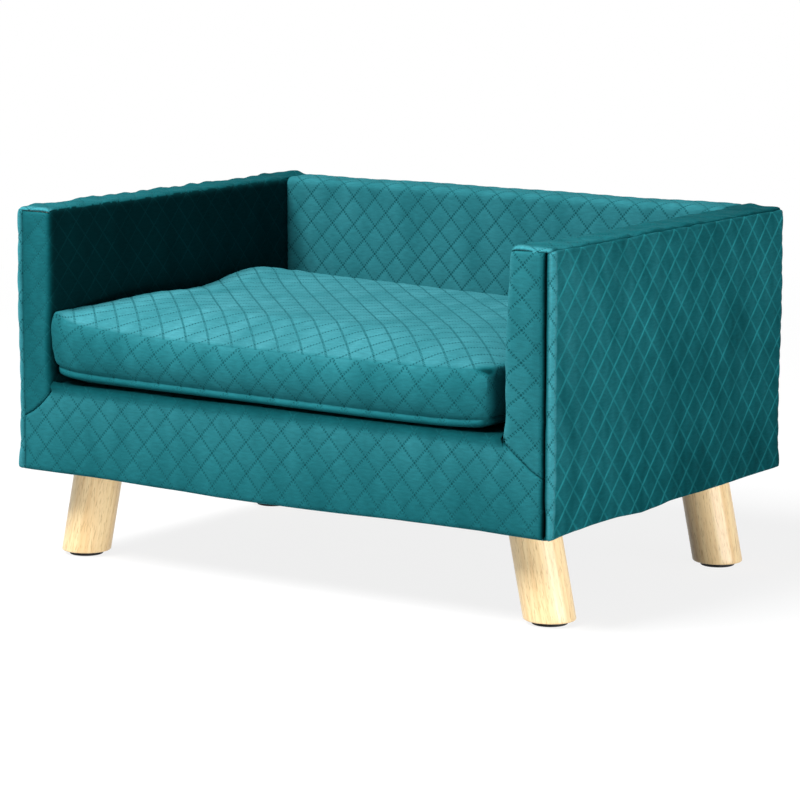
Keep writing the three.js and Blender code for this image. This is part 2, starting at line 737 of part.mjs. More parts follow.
// The slider's body straddles the coil, and a small arch on it carries the pull.
function addZipSlider() {
  const lowX = sliderX - sliderLength / 2;
  const highX = sliderX + sliderLength / 2;
  const body = block([lowX, tapeFaceY + fitGap, zipMiddleZ - sliderHeight / 2],
    [highX, sliderFaceY, zipMiddleZ + sliderHeight / 2]);
  const channel = block([lowX - overrun, tapeFaceY - overrun, zipMiddleZ - zipCoilHeight / 2 - fitGap],
    [highX + overrun, coilFaceY + fitGap, zipMiddleZ + zipCoilHeight / 2 + fitGap]);
  const arch = block(
    [sliderX - sliderArchLength / 2, sliderFaceY - sliderWall / 2, zipMiddleZ - sliderArchWidth / 2],
    [sliderX + sliderArchLength / 2, sliderFaceY + sliderArchHeight, zipMiddleZ + sliderArchWidth / 2],
  );
  const window = block(
    [sliderX - sliderArchLength / 2 + sliderArchBar, sliderFaceY, zipMiddleZ - sliderArchWidth],
    [sliderX + sliderArchLength / 2 - sliderArchBar, sliderFaceY + sliderArchHeight - sliderArchBar,
      zipMiddleZ + sliderArchWidth],
  );
  addPiece('zip_slider', body.subtract(channel).add(arch.subtract(window)), zincSteel);
}

// The pull lies along the zip. Its eye holds the arch, and its end bar turns inside the arch.
function addZipPull() {
  const lowY = pullAxisY - pullThickness / 2;
  const highY = pullAxisY + pullThickness / 2;
  const endX = sliderX + pullEyeBar / 2;
  const plate = block([endX - pullLength, lowY, zipMiddleZ - pullWidth / 2],
    [endX, highY, zipMiddleZ + pullWidth / 2]);
  const eye = block(
    [endX - pullEyeBar - pullEyeLength, lowY - overrun, zipMiddleZ - pullWidth / 2 + pullEyeBar],
    [endX - pullEyeBar, highY + overrun, zipMiddleZ + pullWidth / 2 - pullEyeBar],
  );
  addPiece('zip_pull', plate.subtract(eye), zincSteel);
}

addBoards();
addScrews();
addBearers();
addLegPlates();
addFoam();
addCovers();
addLegs();
addCushion();
addZip();
addZipSlider();
addZipPull();

export default group;
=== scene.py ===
import json
import math

import bmesh
import bpy
import numpy as np
from mathutils import Matrix, Vector, noise


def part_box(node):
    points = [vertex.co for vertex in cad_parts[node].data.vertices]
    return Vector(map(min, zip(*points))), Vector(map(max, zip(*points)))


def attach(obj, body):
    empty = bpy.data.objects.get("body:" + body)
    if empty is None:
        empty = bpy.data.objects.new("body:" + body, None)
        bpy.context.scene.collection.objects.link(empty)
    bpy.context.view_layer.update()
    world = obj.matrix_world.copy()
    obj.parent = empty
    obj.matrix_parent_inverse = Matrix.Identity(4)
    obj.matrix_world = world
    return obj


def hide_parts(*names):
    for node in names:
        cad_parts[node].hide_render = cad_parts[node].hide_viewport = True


# A small pet sofa: a plywood frame padded with foam, covers of quilted velvet, four splayed
# wooden legs and a loose boxed cushion. Metres, +Z up, front towards -Y.

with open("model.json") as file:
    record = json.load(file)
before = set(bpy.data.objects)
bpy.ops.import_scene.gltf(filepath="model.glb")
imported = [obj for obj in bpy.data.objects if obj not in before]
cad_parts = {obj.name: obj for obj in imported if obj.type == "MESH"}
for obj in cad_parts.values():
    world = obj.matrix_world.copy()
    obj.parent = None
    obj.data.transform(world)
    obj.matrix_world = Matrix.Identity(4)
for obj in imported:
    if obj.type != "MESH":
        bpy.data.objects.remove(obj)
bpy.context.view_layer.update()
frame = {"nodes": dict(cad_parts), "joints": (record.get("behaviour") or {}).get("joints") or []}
nodes = frame["nodes"]


# Plywood boards
# Two side boards, the front, the back and the seat, sawn from birch plywood and screwed together
# at the corners. Sanded faces with long grain, and brown glue lines between the plies on the edges.

ply_spacing = 0.003
ply_face_colour = "#D8BE90"
ply_dark_grain_colour = "#B8935F"
ply_glue_colour = "#8A6238"
ply_direction = {
    "side_board_left": (1, 0, 0), "side_board_right": (1, 0, 0),
    "front_board": (0, 1, 0), "back_board": (0, 1, 0), "seat_board": (0, 0, 1),
}
MIX_A, MIX_B, MIX_RESULT = 6, 7, 2


def linear(code):
    """An sRGB hex colour as the linear colour that a shader takes."""
    parts = [int(code[place:place + 2], 16) / 255 for place in (1, 3, 5)]
    parts = [part / 12.92 if part <= 0.04045 else ((part + 0.055) / 1.055) ** 2.4 for part in parts]
    return [*parts, 1]


def add_node(tree, kind, inputs=None, **settings):
    """Adds a node. A socket among its inputs is linked, and any other value is set."""
    node = tree.nodes.new(kind)
    for name, value in settings.items():
        setattr(node, name, value)
    for name, value in (inputs or {}).items():
        if isinstance(value, bpy.types.NodeSocket):
            tree.links.new(value, node.inputs[name])
        else:
            node.inputs[name].default_value = value
    return node


def object_place(tree):
    return add_node(tree, "ShaderNodeTexCoord").outputs["Object"]


def computed(tree, operation, *values, **settings):
    """The result of a sum on numbers and sockets."""
    inputs = dict(enumerate(values))
    return add_node(tree, "ShaderNodeMath", inputs, operation=operation, **settings).outputs[0]


def computed_vector(tree, operation, *values):
    """The same on vectors. A length or a dot product comes out as one number."""
    node = add_node(tree, "ShaderNodeVectorMath", dict(enumerate(values)), operation=operation)
    return node.outputs["Value" if operation in ("LENGTH", "DOT_PRODUCT") else "Vector"]


def graded(tree, value, low, high, start=0, end=1, **settings):
    """A value from low to high turned into one from start to end, and held there beyond them."""
    inputs = {"Value": value, "From Min": low, "From Max": high, "To Min": start, "To Max": end}
    return add_node(tree, "ShaderNodeMapRange", inputs, **settings).outputs[0]


def blended(tree, share, first, second):
    """A colour between two others, each of them a hex colour or a socket."""
    first, second = (linear(one) if isinstance(one, str) else one for one in (first, second))
    inputs = {0: share, MIX_A: first, MIX_B: second}
    return add_node(tree, "ShaderNodeMix", inputs, data_type="RGBA").outputs[MIX_RESULT]


def grain_over(tree, place, scale, detail, stretch=(1, 1, 1), turn=0, distortion=0):
    """Noise over a place that is scaled along each axis and turned about the last one."""
    inputs = {"Vector": place, "Scale": stretch, "Rotation": (0, 0, math.radians(turn))}
    place = add_node(tree, "ShaderNodeMapping", inputs).outputs[0]
    inputs = {"Vector": place, "Scale": scale, "Detail": detail, "Distortion": distortion}
    return add_node(tree, "ShaderNodeTexNoise", inputs).outputs[0]


def new_finish(name, roughness, specular=0.5):
    """A new material, its node tree and its surface shader."""
    material = bpy.data.materials.new(name)
    material.use_nodes = True
    shader = material.node_tree.nodes["Principled BSDF"]
    shader.inputs["Roughness"].default_value = roughness
    shader.inputs["Specular IOR Level"].default_value = specular
    return material, material.node_tree, shader


def finish_with(tree, shader, colour, height=None, depth=0, strength=1):
    """Links the colour to the surface, and the height as a bump of some depth in metres."""
    tree.links.new(colour, shader.inputs["Base Color"])
    if height is not None:
        bump = add_node(tree, "ShaderNodeBump",
                        {"Height": height, "Strength": strength, "Distance": depth})
        tree.links.new(bump.outputs[0], shader.inputs["Normal"])


def give_finish(piece, material):
    piece.data.materials.clear()
    piece.data.materials.append(material)


def sanded_plywood(name, direction):
    """Birch plywood: flat, dry and pale, with fine grain and thin dark lines across its edges."""
    material, tree, shader = new_finish(name, 0.75, 0.3)
    place = object_place(tree)
    layer = computed(tree, "MULTIPLY", computed_vector(tree, "DOT_PRODUCT", place, direction),
                     1 / ply_spacing)
    line = graded(tree, computed(tree, "PINGPONG", layer, 0.5), 0.03, 0.09, 1, 0)
    grain = grain_over(tree, place, 2, 5, (14, 14, 160))
    wood = blended(tree, grain, ply_face_colour, ply_dark_grain_colour)
    finish_with(tree, shader, blended(tree, line, wood, ply_glue_colour))
    return material


for board, direction in ply_direction.items():
    give_finish(nodes[board], sanded_plywood("sanded_plywood_" + board, direction))


# Pine bearers and leg plates
# Planed pine battens glued and nailed under the seat board, posts in the corners, and the four
# plates that the legs screw into. Clear straight grain in yellow and brown, matt.

pine_light_colour = "#E2C593"
pine_dark_colour = "#B98B4F"
pine_ring_spacing = 0.004


def planed_pine(name, along):
    """Planed pine with its grain along one axis. Yellow early wood and browner late wood."""
    material, tree, shader = new_finish(name, 0.7, 0.3)
    stretch = [1 / pine_ring_spacing] * 3
    stretch["XYZ".index(along)] *= 0.05
    rings = grain_over(tree, object_place(tree), 0.5, 6, stretch)
    wood = blended(tree, graded(tree, rings, 0.35, 0.7), pine_light_colour, pine_dark_colour)
    finish_with(tree, shader, wood, rings, 0.0003, 0.2)
    return material


pine_along = {along: planed_pine("planed_pine_" + along.lower(), along) for along in "XYZ"}
corner_names = ["front_left", "front_right", "back_left", "back_right"]
for name in ("side_cleat_left", "side_cleat_right", "centre_brace"):
    give_finish(nodes[name], pine_along["Y"])
for corner in corner_names:
    give_finish(nodes["corner_post_" + corner], pine_along["Z"])
    give_finish(nodes["leg_plate_" + corner], pine_along["X"])


# Frame screws and tee nuts
# Countersunk steel screws through the side boards, and a steel tee nut pressed into each leg plate
# from above. Bright zinc plating, a little cloudy and blue.

zinc_colour = "#B9BDC2"
zinc_cloud_colour = "#9EA6B0"
zinc_cloud_size = 0.003


def zinc_plate():
    """Bright zinc on steel: a cool grey metal whose shine is broken up by faint clouds."""
    material, tree, shader = new_finish("bright_zinc_plate", 0.32)
    shader.inputs["Metallic"].default_value = 1
    clouds = grain_over(tree, object_place(tree), 1 / zinc_cloud_size, 3)
    finish_with(tree, shader, blended(tree, clouds, zinc_colour, zinc_cloud_colour))
    tree.links.new(graded(tree, clouds, 0, 1, 0.22, 0.45), shader.inputs["Roughness"])
    return material


bright_zinc = zinc_plate()
for name in nodes:
    if name.startswith(("frame_screw", "tee_nut")):
        give_finish(nodes[name], bright_zinc)


# Foam padding
# Sheets of soft open-cell foam glued round the arms, the back and the front board, so that the
# covers lie soft over the plywood. Knife-cut, with edges that give a little.

foam_colour = "#E9E3CF"
foam_shade_colour = "#D2C9AE"
foam_cell_size = 0.0012
foam_edge = 0.005
foam_pieces = ["arm_foam_left", "arm_foam_right", "back_foam", "front_foam"]
front_seam_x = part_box("arm_cover_right")[1].x - 0.008
groove_depth = 0.0054
groove_half_width = 0.0078


def open_cell_foam():
    """Cream polyurethane foam: matt, pitted with fine cells that are darker inside."""
    material, tree, shader = new_finish("open_cell_foam", 0.95, 0.1)
    cells = add_node(tree, "ShaderNodeTexVoronoi",
                     {"Vector": object_place(tree), "Scale": 1 / foam_cell_size})
    to_middle = cells.outputs["Distance"]
    colour = blended(tree, to_middle, foam_shade_colour, foam_colour)
    finish_with(tree, shader, colour, to_middle, 0.0005)
    return material


def shown(name, mesh, material):
    """A new object in the scene, smooth shaded, with its finish."""
    piece = bpy.data.objects.new(name, mesh)
    bpy.context.scene.collection.objects.link(piece)
    give_finish(piece, material)
    mesh.shade_smooth()
    return piece


def softened_copy(node, name, material, edge, steps=2):
    """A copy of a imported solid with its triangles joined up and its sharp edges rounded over."""
    mesh = nodes[node].data.copy()
    shape = bmesh.new()
    shape.from_mesh(mesh)
    bmesh.ops.remove_doubles(shape, verts=shape.verts, dist=1e-5)
    bmesh.ops.dissolve_limit(shape, angle_limit=math.radians(1), verts=shape.verts,
                             edges=shape.edges)
    shape.to_mesh(mesh)
    shape.free()
    piece = shown(name, mesh, material)
    rounding = piece.modifiers.new("rounded_edge", "BEVEL")
    rounding.width = edge
    rounding.segments = steps
    rounding.angle_limit = math.radians(35)
    rounding.harden_normals = True
    return piece


def shaped(piece):
    """A piece as its modifiers shape it at this moment."""
    return piece.evaluated_get(bpy.context.evaluated_depsgraph_get())


def plain_mesh(piece):
    """Applies a piece's modifiers."""
    mesh = bpy.data.meshes.new_from_object(shaped(piece))
    piece.modifiers.clear()
    piece.data = mesh
    return mesh


def press_grooves(padding):
    """The tight seam beside each front corner presses a groove into the face of the foam."""
    mesh = plain_mesh(padding)
    face_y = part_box("arm_foam_right")[0].y + 0.001
    shape = bmesh.new()
    shape.from_mesh(mesh)
    for side in (-1, 1):
        for share in (-1, -0.5, 0, 0.5, 1):
            cut_x = side * (front_seam_x + share * groove_half_width)
            bmesh.ops.bisect_plane(shape, geom=[*shape.verts, *shape.edges, *shape.faces],
                                   plane_co=(cut_x, 0, 0), plane_no=(1, 0, 0))
    for vert in shape.verts:
        away = abs(abs(vert.co.x) - front_seam_x) / groove_half_width
        if vert.co.y < face_y and away < 1:
            vert.co.y += groove_depth * (1 - away)
    shape.to_mesh(mesh)
    shape.free()


cut_foam = open_cell_foam()
for name in foam_pieces:
    padding = softened_copy(name, name.replace("foam", "padding"), cut_foam, foam_edge)
    if name != "back_foam":
        press_grooves(padding)
    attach(padding, "root")
    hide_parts(name)


# Quilted velvet
# Short-pile polyester velvet fused to thin wadding along pressed diamonds. Each line is a double
# row of pin dots in a shallow channel. Velvet looks light or dark by the way that its pile lies,
# and besides that, light and shade are painted into its colour panel by panel: painted shade in
# the pressed lines, and painted highlights on them on faces turned away from the lamp.

diamond_width = 0.0283
diamond_height = 0.0303
line_spacing = diamond_width * diamond_height / math.hypot(diamond_width, diamond_height)
side_length = math.hypot(diamond_width, diamond_height) / 2
dots_a_side = 7
dot_row_offset = 0.00072
dot_radius = 0.00056
channel_half_width = 0.0013
velvet_colour = "#1E5E65"
velvet_brushed_colour = "#2B6F77"
# Painted shade of the pressed lines:
velvet_groove_shade_colour = "#15565C"
velvet_dot_colour = "#042F34"
# Painted highlight of the pressed lines:
velvet_line_highlight_colour = "#26868D"
velvet_sheen_tint = "#56D3DC"
# How the painted light and shade scales red, green and blue, and the most that it may lift them.
painted_light_power = (2.3, 1, 1)
painted_light_limit = (1.95, 9, 9)


def quilted_velvet():
    """Velvet: deep colour face on, a soft sheen at a glancing angle, streaks where it was brushed.

    Values on the cloth say how light or dark each spot is painted, for the lie of the pile and as
    painted light and shade, and where the pressed lines get a painted highlight instead of painted
    shade.
    """
    material, tree, shader = new_finish("quilted_velvet", 0.8, 0.02)
    shader.inputs["Sheen Weight"].default_value = 0.05
    shader.inputs["Sheen Roughness"].default_value = 0.4
    shader.inputs["Sheen Tint"].default_value = linear(velvet_sheen_tint)
    place = add_node(tree, "ShaderNodeUVMap", uv_map="Cloth").outputs[0]
    nap_and_painted_light = add_node(tree, "ShaderNodeAttribute", attribute_name="nap_and_painted_light").outputs["Fac"]
    painted_line_highlight = add_node(tree, "ShaderNodeAttribute", attribute_name="painted_line_highlight").outputs["Fac"]
    ways = [(1 / diamond_width, sign / diamond_height, 0) for sign in (1, -1)]
    turned = [computed_vector(tree, "DOT_PRODUCT", place, way) for way in ways]
    wide = computed(tree, "MULTIPLY_ADD", painted_line_highlight, 0.6 * channel_half_width, channel_half_width)

    def pressed_line(across, along):
        """The pin dots and the channel of the lines along one side of the diamonds."""
        way = computed(tree, "MULTIPLY", computed(tree, "PINGPONG", across, 0.5), line_spacing)
        off = computed(tree, "SUBTRACT", way, dot_row_offset)
        beat = computed(tree, "PINGPONG", computed(tree, "MULTIPLY", along, dots_a_side), 0.5)
        step = computed(tree, "MULTIPLY", beat, side_length / dots_a_side)
        both = add_node(tree, "ShaderNodeCombineXYZ", {0: off, 1: step}).outputs[0]
        away = computed_vector(tree, "LENGTH", both)
        return (graded(tree, away, dot_radius * 0.6, dot_radius * 1.2, 1, 0),
                graded(tree, way, 0, wide, 1, 0, interpolation_type="SMOOTHSTEP"))

    first_dots, first_channel = pressed_line(turned[0], turned[1])
    second_dots, second_channel = pressed_line(turned[1], turned[0])
    fainter = computed(tree, "MULTIPLY_ADD", painted_line_highlight, -0.45, 1)
    first_channel = computed(tree, "MULTIPLY", first_channel, fainter)
    dots = computed(tree, "MAXIMUM", first_dots, second_dots)
    channels = computed(tree, "MAXIMUM", first_channel, second_channel)

    brushing = grain_over(tree, place, 1, 3, (28, 9, 1), 24)
    combed = grain_over(tree, place, 1, 2, (1 / 0.009, 1 / 0.0022, 1), -47)
    pile = grain_over(tree, place, 1 / 0.0012, 2)
    cloth = blended(tree, graded(tree, brushing, 0.3, 0.75), velvet_colour, velvet_brushed_colour)
    mottle = computed(tree, "MULTIPLY", graded(tree, pile, 0, 1, 0.84, 1.14),
                      graded(tree, combed, 0.25, 0.75, 0.87, 1.14))
    # Painted light and shade: the colour is scaled by how light the cloth is painted at each spot,
    # with red changing faster than green and blue, and held under a limit.
    tone = computed_vector(tree, "POWER", nap_and_painted_light, painted_light_power)
    tone = computed_vector(tree, "MINIMUM", tone, painted_light_limit)
    lying = computed_vector(tree, "MULTIPLY", cloth, tone)
    speckled = computed_vector(tree, "MULTIPLY", lying, mottle)

    # The pressed lines show less where the cloth is painted dark.
    lines_in_light = graded(tree, nap_and_painted_light, 0, 0.6, 0, 0.5)
    worn = graded(tree, brushing, 0.35, 0.65, 0.5, 1.5)
    line_showing = computed(tree, "MULTIPLY", lines_in_light, worn)
    flattened = computed(tree, "MULTIPLY", channels, line_showing, use_clamp=True)
    # Painted shade in the pressed lines, and a painted highlight on them where the cloth marks it.
    line_colour = blended(tree, painted_line_highlight, velvet_groove_shade_colour, velvet_line_highlight_colour)
    pressed = blended(tree, flattened, speckled, line_colour)
    clear = graded(tree, nap_and_painted_light, 0.3, 0.78, 0.1, 0.9)
    seen = computed(tree, "MULTIPLY", clear, computed(tree, "SUBTRACT", 1, painted_line_highlight))
    shade = computed(tree, "MULTIPLY", dots, seen)

    lines = computed(tree, "MULTIPLY_ADD", channels, -0.5, computed(tree, "MULTIPLY", dots, -0.8))
    height = computed(tree, "MULTIPLY_ADD", pile, 0.12, lines)
    finish_with(tree, shader, blended(tree, shade, pressed, velvet_dot_colour), height, 0.0004, 0.6)
    return material


def quilt_lift(flat):
    """How high the quilting stands, from 0 on a pressed line to 1 in the middle of a diamond."""
    lift = np.ones(len(flat))
    for sign in (1, -1):
        across = flat[:, 0] / diamond_width + sign * flat[:, 1] / diamond_height
        share = np.abs(across - np.round(across)) * 2
        lift *= 1 - (1 - share) ** 3
    return lift


velvet = quilted_velvet()


# Sewn covers on the frame
# The velvet is cut in panels, sewn together and pulled down over the foam, then stapled under
# the frame. Each seam lies in a fold, and the cloth puckers a little beside it.

cloth_step = 0.0025
cloth_thickness = 0.001
quilt_height = 0.0006
soft_corner = 0.0075
tight_bottom = 0.003
hem_width = 0.016
tuck = 0.003
side_seam_inset = 0.008
arm_seam_drop = 0.035
arm_seam_top = 0.003
arm_seam_power = 1.3
top_roll = 0.0025
flap_depth = 0.06
fold_lines = (0.0003, 0.0008, 0.0015, 0.0024)
fold_room = 0.0032
seam_tuck = 0.0018
full_shade_depth = 0.005
cover_wave_pitch = 0.11
pucker_reach = 0.012
side_quilt_height = 0.001
corner_seam_width = 0.0036
corner_seam_depth = {-1: 0.0024, 1: 0.0066}
foot_seam = (0.0016, 0.0014, 0, 1)
front_seed, back_seed = 4.1, 7.7
gap = 0.0003

arm_low, arm_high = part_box("arm_cover_right")
inner_x, outer_x = arm_low.x, arm_high.x
front_y, rear_y = arm_low.y, arm_high.y
bottom_z, top_z = arm_low.z, arm_high.z
rail_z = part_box("front_cover")[1].z
back_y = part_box("back_cover")[0].y
seam_x = outer_x - side_seam_inset


def cloth_lines(low, high, folds=()):
    """The cloth's grid between two ends: the same places in every panel, and closer at a fold."""
    first, last = math.ceil(low / cloth_step + 0.3), math.floor(high / cloth_step - 0.3)
    lines = {low, high, *(np.arange(first, last + 1) * cloth_step)}
    for fold in folds:
        lines = {line for line in lines if abs(line - fold) > fold_room or line in (low, high)}
        closer = {fold + side * way for way in fold_lines for side in (-1, 1)}
        lines |= {line for line in closer if low < line < high}
    return np.array(sorted(lines))


def trimmed(flat, cells, room):
    """Cuts the grid's cells along the line where room is nought, and drops what lies beyond it."""
    flat, kept, cut = flat.tolist(), [], {}
    for cell in cells:
        inside = [room[corner] >= 0 for corner in cell]
        if all(inside):
            kept.append(list(cell))
        elif any(inside):
            ring = []
            for here, there in zip(cell, [*cell[1:], cell[0]]):
                if room[here] >= 0:
                    ring.append(here)
                if (room[here] >= 0) != (room[there] >= 0):
                    edge = (min(here, there), max(here, there))
                    if edge not in cut:
                        share = room[here] / (room[here] - room[there])
                        cut[edge] = len(flat)
                        flat.append([a + (b - a) * share for a, b in zip(flat[here], flat[there])])
                    ring.append(cut[edge])
            kept.append(ring)
    return np.array(flat), kept


def slow_wave(places, pitch, seed):
    """A wandering value from about -1 to 1 at each place, the same in every run."""
    return np.array([noise.noise(Vector(place) / pitch + Vector((seed, 0, 0))) for place in places])


def grid_cells(number):
    """The corners of each cell of a grid of numbered points."""
    corners = [number[:-1, :-1], number[1:, :-1], number[1:, 1:], number[:-1, 1:]]
    return np.stack(corners, -1).reshape(-1, 4)


def new_cloth():
    return {"sharp": [], "flat": [], "lift": [], "nap_and_painted_light": [], "painted_line_highlight": [], "faces": [], "count": 0}


def lay_panel(cloth, s_range, t_range, place, room=None, seams=(), seed=0.0, quilt=quilt_height,
              nap_and_painted_light=None, painted_line_highlight=None, swell=None, folds=()):
    """Adds one panel. place turns a spot on the flat cloth into one on the sharp-cornered form.

    A seam is (distance on the cloth, width and depth of its fold, height and pitch of its puckers).
    Past a seam the cloth is tucked in deeper, and painted shade darkens the fold of each seam.
    One look function says how light the cloth is painted at each spot, for its pile and as painted
    light and shade, another where its pressed lines get a painted highlight, and swell what it
    stands off the form.
    """
    s, t = np.meshgrid(cloth_lines(*s_range, folds), cloth_lines(*t_range), indexing="ij")
    flat = np.stack([s.ravel(), t.ravel()], 1)
    faces = grid_cells(np.arange(s.size).reshape(s.shape)).tolist()
    if room is not None:
        flat, faces = trimmed(flat, faces, room(*flat.T))
    lift = quilt * quilt_lift(flat)
    sharp = place(*flat.T)
    if swell is not None:
        lift = lift + swell(*flat.T)
    look = np.ones(len(flat)) if nap_and_painted_light is None else nap_and_painted_light(*flat.T)
    for distance, width, depth, pucker, pitch in seams:
        past = np.clip(-distance(*flat.T) / 0.001, 0, 1)
        away = np.maximum(distance(*flat.T), 0)
        fold = 1 - np.sqrt(1 - (1 - np.minimum(away / width, 1)) ** 2)
        lift = lift * np.minimum(away / width, 1) - depth * fold - seam_tuck * past
        # Painted shade: the cloth is darkened in and beside the fold of a seam, more for a deeper
        # fold.
        dark = min(depth / full_shade_depth, 1)
        dark = dark * np.interp(away / width, [0, 0.25, 0.5, 0.85], [0.96, 0.86, 0.45, 0])
        look = look * (1 - dark)
        if pucker:
            lift += pucker * np.exp(-away / pucker_reach) * slow_wave(sharp, pitch, seed)
    cloth["sharp"].append(sharp)
    cloth["flat"].append(flat)
    cloth["lift"].append(lift)
    cloth["nap_and_painted_light"].append(look)
    cloth["painted_line_highlight"].append(np.zeros(len(flat)) if painted_line_highlight is None else painted_line_highlight(*flat.T))
    cloth["faces"] += [[corner + cloth["count"] for corner in face] for face in faces]
    cloth["count"] += len(flat)


def cloth_shift(sharp, x):
    """The bottom edge hangs a little and unevenly below the frame, and the cloth bellies out at the
    inner front edge of the right arm."""
    y, z = sharp[:, 1], sharp[:, 2]
    side_hang = np.interp(y, [front_y, -0.195, -0.16, -0.1, -0.055, 0, 0.11, rear_y],
                          [0.0035, 0.0017, 0.0005, 0.0007, 0.0028, 0, 0.0008, 0.0003])
    side_hang = 0.0008 + np.clip(x / 0.1 + 0.5, 0, 1) * (side_hang - 0.0008)
    front_hang = np.interp(x, [-outer_x, -0.2, -0.12, -0.07, 0.03, 0.24, outer_x],
                           [0.0005, 0.0015, 0.003, 0.0045, 0.0045, 0.0015, 0.0035])
    hang = front_hang + np.clip((y - front_y) / 0.02, 0, 1) * (side_hang - front_hang)
    inward = np.minimum(np.minimum(outer_x - np.abs(x), y - front_y), rear_y - y)
    low = np.clip(1 - (z - bottom_z) / 0.05, 0, 1) ** 2 * np.clip(1.4 - inward / 0.01, 0, 1)
    belly = np.interp(z, [rail_z - 0.03, rail_z - 0.005, rail_z + 0.08, top_z - 0.05, top_z],
                      [0, 0.0055, 0.0065, 0.0035, 0.0005])
    belly = belly * np.exp(-((x - inner_x) / 0.014) ** 2 - ((y - front_y) / 0.045) ** 2)
    return np.stack([-belly, np.zeros(len(x)), -hang * low], 1)


def set_values(mesh, name, values, domain="POINT"):
    """Gives a mesh a named value at each point, edge or corner."""
    values = np.asarray(values).astype(np.float32)
    mesh.attributes.new(name, "FLOAT", domain).data.foreach_set("value", values)


def move_points(mesh, points):
    mesh.vertices.foreach_set("co", points.astype(np.float32).ravel())


def corner_points(mesh):
    """Which point each corner of each face belongs to."""
    numbers = np.zeros(len(mesh.loops), np.int32)
    mesh.loops.foreach_get("vertex_index", numbers)
    return numbers


def give_thickness(piece, depth):
    """Makes a piece of cloth thick, from its face inwards."""
    body = piece.modifiers.new("cloth_thickness", "SOLIDIFY")
    body.thickness = depth
    body.offset = -1


def sewn_cover(name, cloth, low, high, radius, side=1, seed=0.0, wave=0.0012):
    """Rounds the form's edges, lifts the quilting off it and gives the cloth its thickness."""
    parts = ("sharp", "flat", "lift", "nap_and_painted_light", "painted_line_highlight")
    sharp, flat, lift, nap_and_painted_light, painted_line_highlight = (np.concatenate(cloth[part]) for part in parts)
    round_by = radius(sharp)[:, None]
    core = np.clip(sharp, np.array(low) + round_by, np.array(high) - round_by)
    away = sharp - core
    outward = away / np.linalg.norm(away, axis=1)[:, None]
    mirror = np.array([side, 1, 1])
    lift = lift + wave * slow_wave(sharp * mirror, cover_wave_pitch, seed)
    points = (core + outward * (round_by + lift[:, None])) * mirror
    points += cloth_shift(sharp, sharp[:, 0] * side)
    outward = outward * mirror

    mesh = bpy.data.meshes.new(name)
    mesh.from_pydata(points.tolist(), [], cloth["faces"])
    places = flat[corner_points(mesh)].astype(np.float32)
    mesh.uv_layers.new(name="Cloth").data.foreach_set("uv", places.ravel())
    set_values(mesh, "nap_and_painted_light", nap_and_painted_light)
    set_values(mesh, "painted_line_highlight", painted_line_highlight)
    shape = bmesh.new()
    shape.from_mesh(mesh)
    shape.verts.ensure_lookup_table()
    facing = [face for face in shape.faces
              if face.normal.dot(Vector(outward[[vert.index for vert in face.verts]].sum(0))) < 0]
    bmesh.ops.reverse_faces(shape, faces=facing)
    loose = [vert for vert in shape.verts if not vert.link_faces]
    bmesh.ops.delete(shape, geom=loose, context="VERTS")
    bmesh.ops.remove_doubles(shape, verts=shape.verts, dist=cloth_step / 25)
    shape.to_mesh(mesh)
    shape.free()
    piece = shown(name, mesh, velvet)
    give_thickness(piece, cloth_thickness)
    return piece


def form_radius(sharp):
    """Soft corners higher up, and tight ones where the cloth is pulled under the frame."""
    return np.interp(sharp[:, 2], [bottom_z, bottom_z + 0.03], [tight_bottom, soft_corner])


def arm_radius(sharp):
    """The arm's inner edge runs out flat into the rail at the foot of the arm."""
    foot = np.interp(sharp[:, 2], [rail_z, rail_z + 0.014], [0.001, soft_corner])
    inner = np.clip((inner_x + 0.02 - sharp[:, 0]) / 0.008, 0, 1)
    round_by = form_radius(sharp)
    return round_by + inner * (np.minimum(round_by, foot) - round_by)


def stacked(x, y, z):
    return np.stack(np.broadcast_arrays(x, y, z), 1).astype(float)


def past_foot_seam(x, z):
    """How far a spot lies below the seam at the foot of an arm. The seam falls in a shallow curve
    from just under the top of the rail to the side seam."""
    across = np.maximum(seam_x - x, 0) / (seam_x - inner_x)
    drop = np.maximum(rail_z - arm_seam_top - z, 0) / (arm_seam_drop - arm_seam_top)
    way = (across ** arm_seam_power + drop ** arm_seam_power) ** (1 / arm_seam_power)
    return (way - 1) * arm_seam_drop


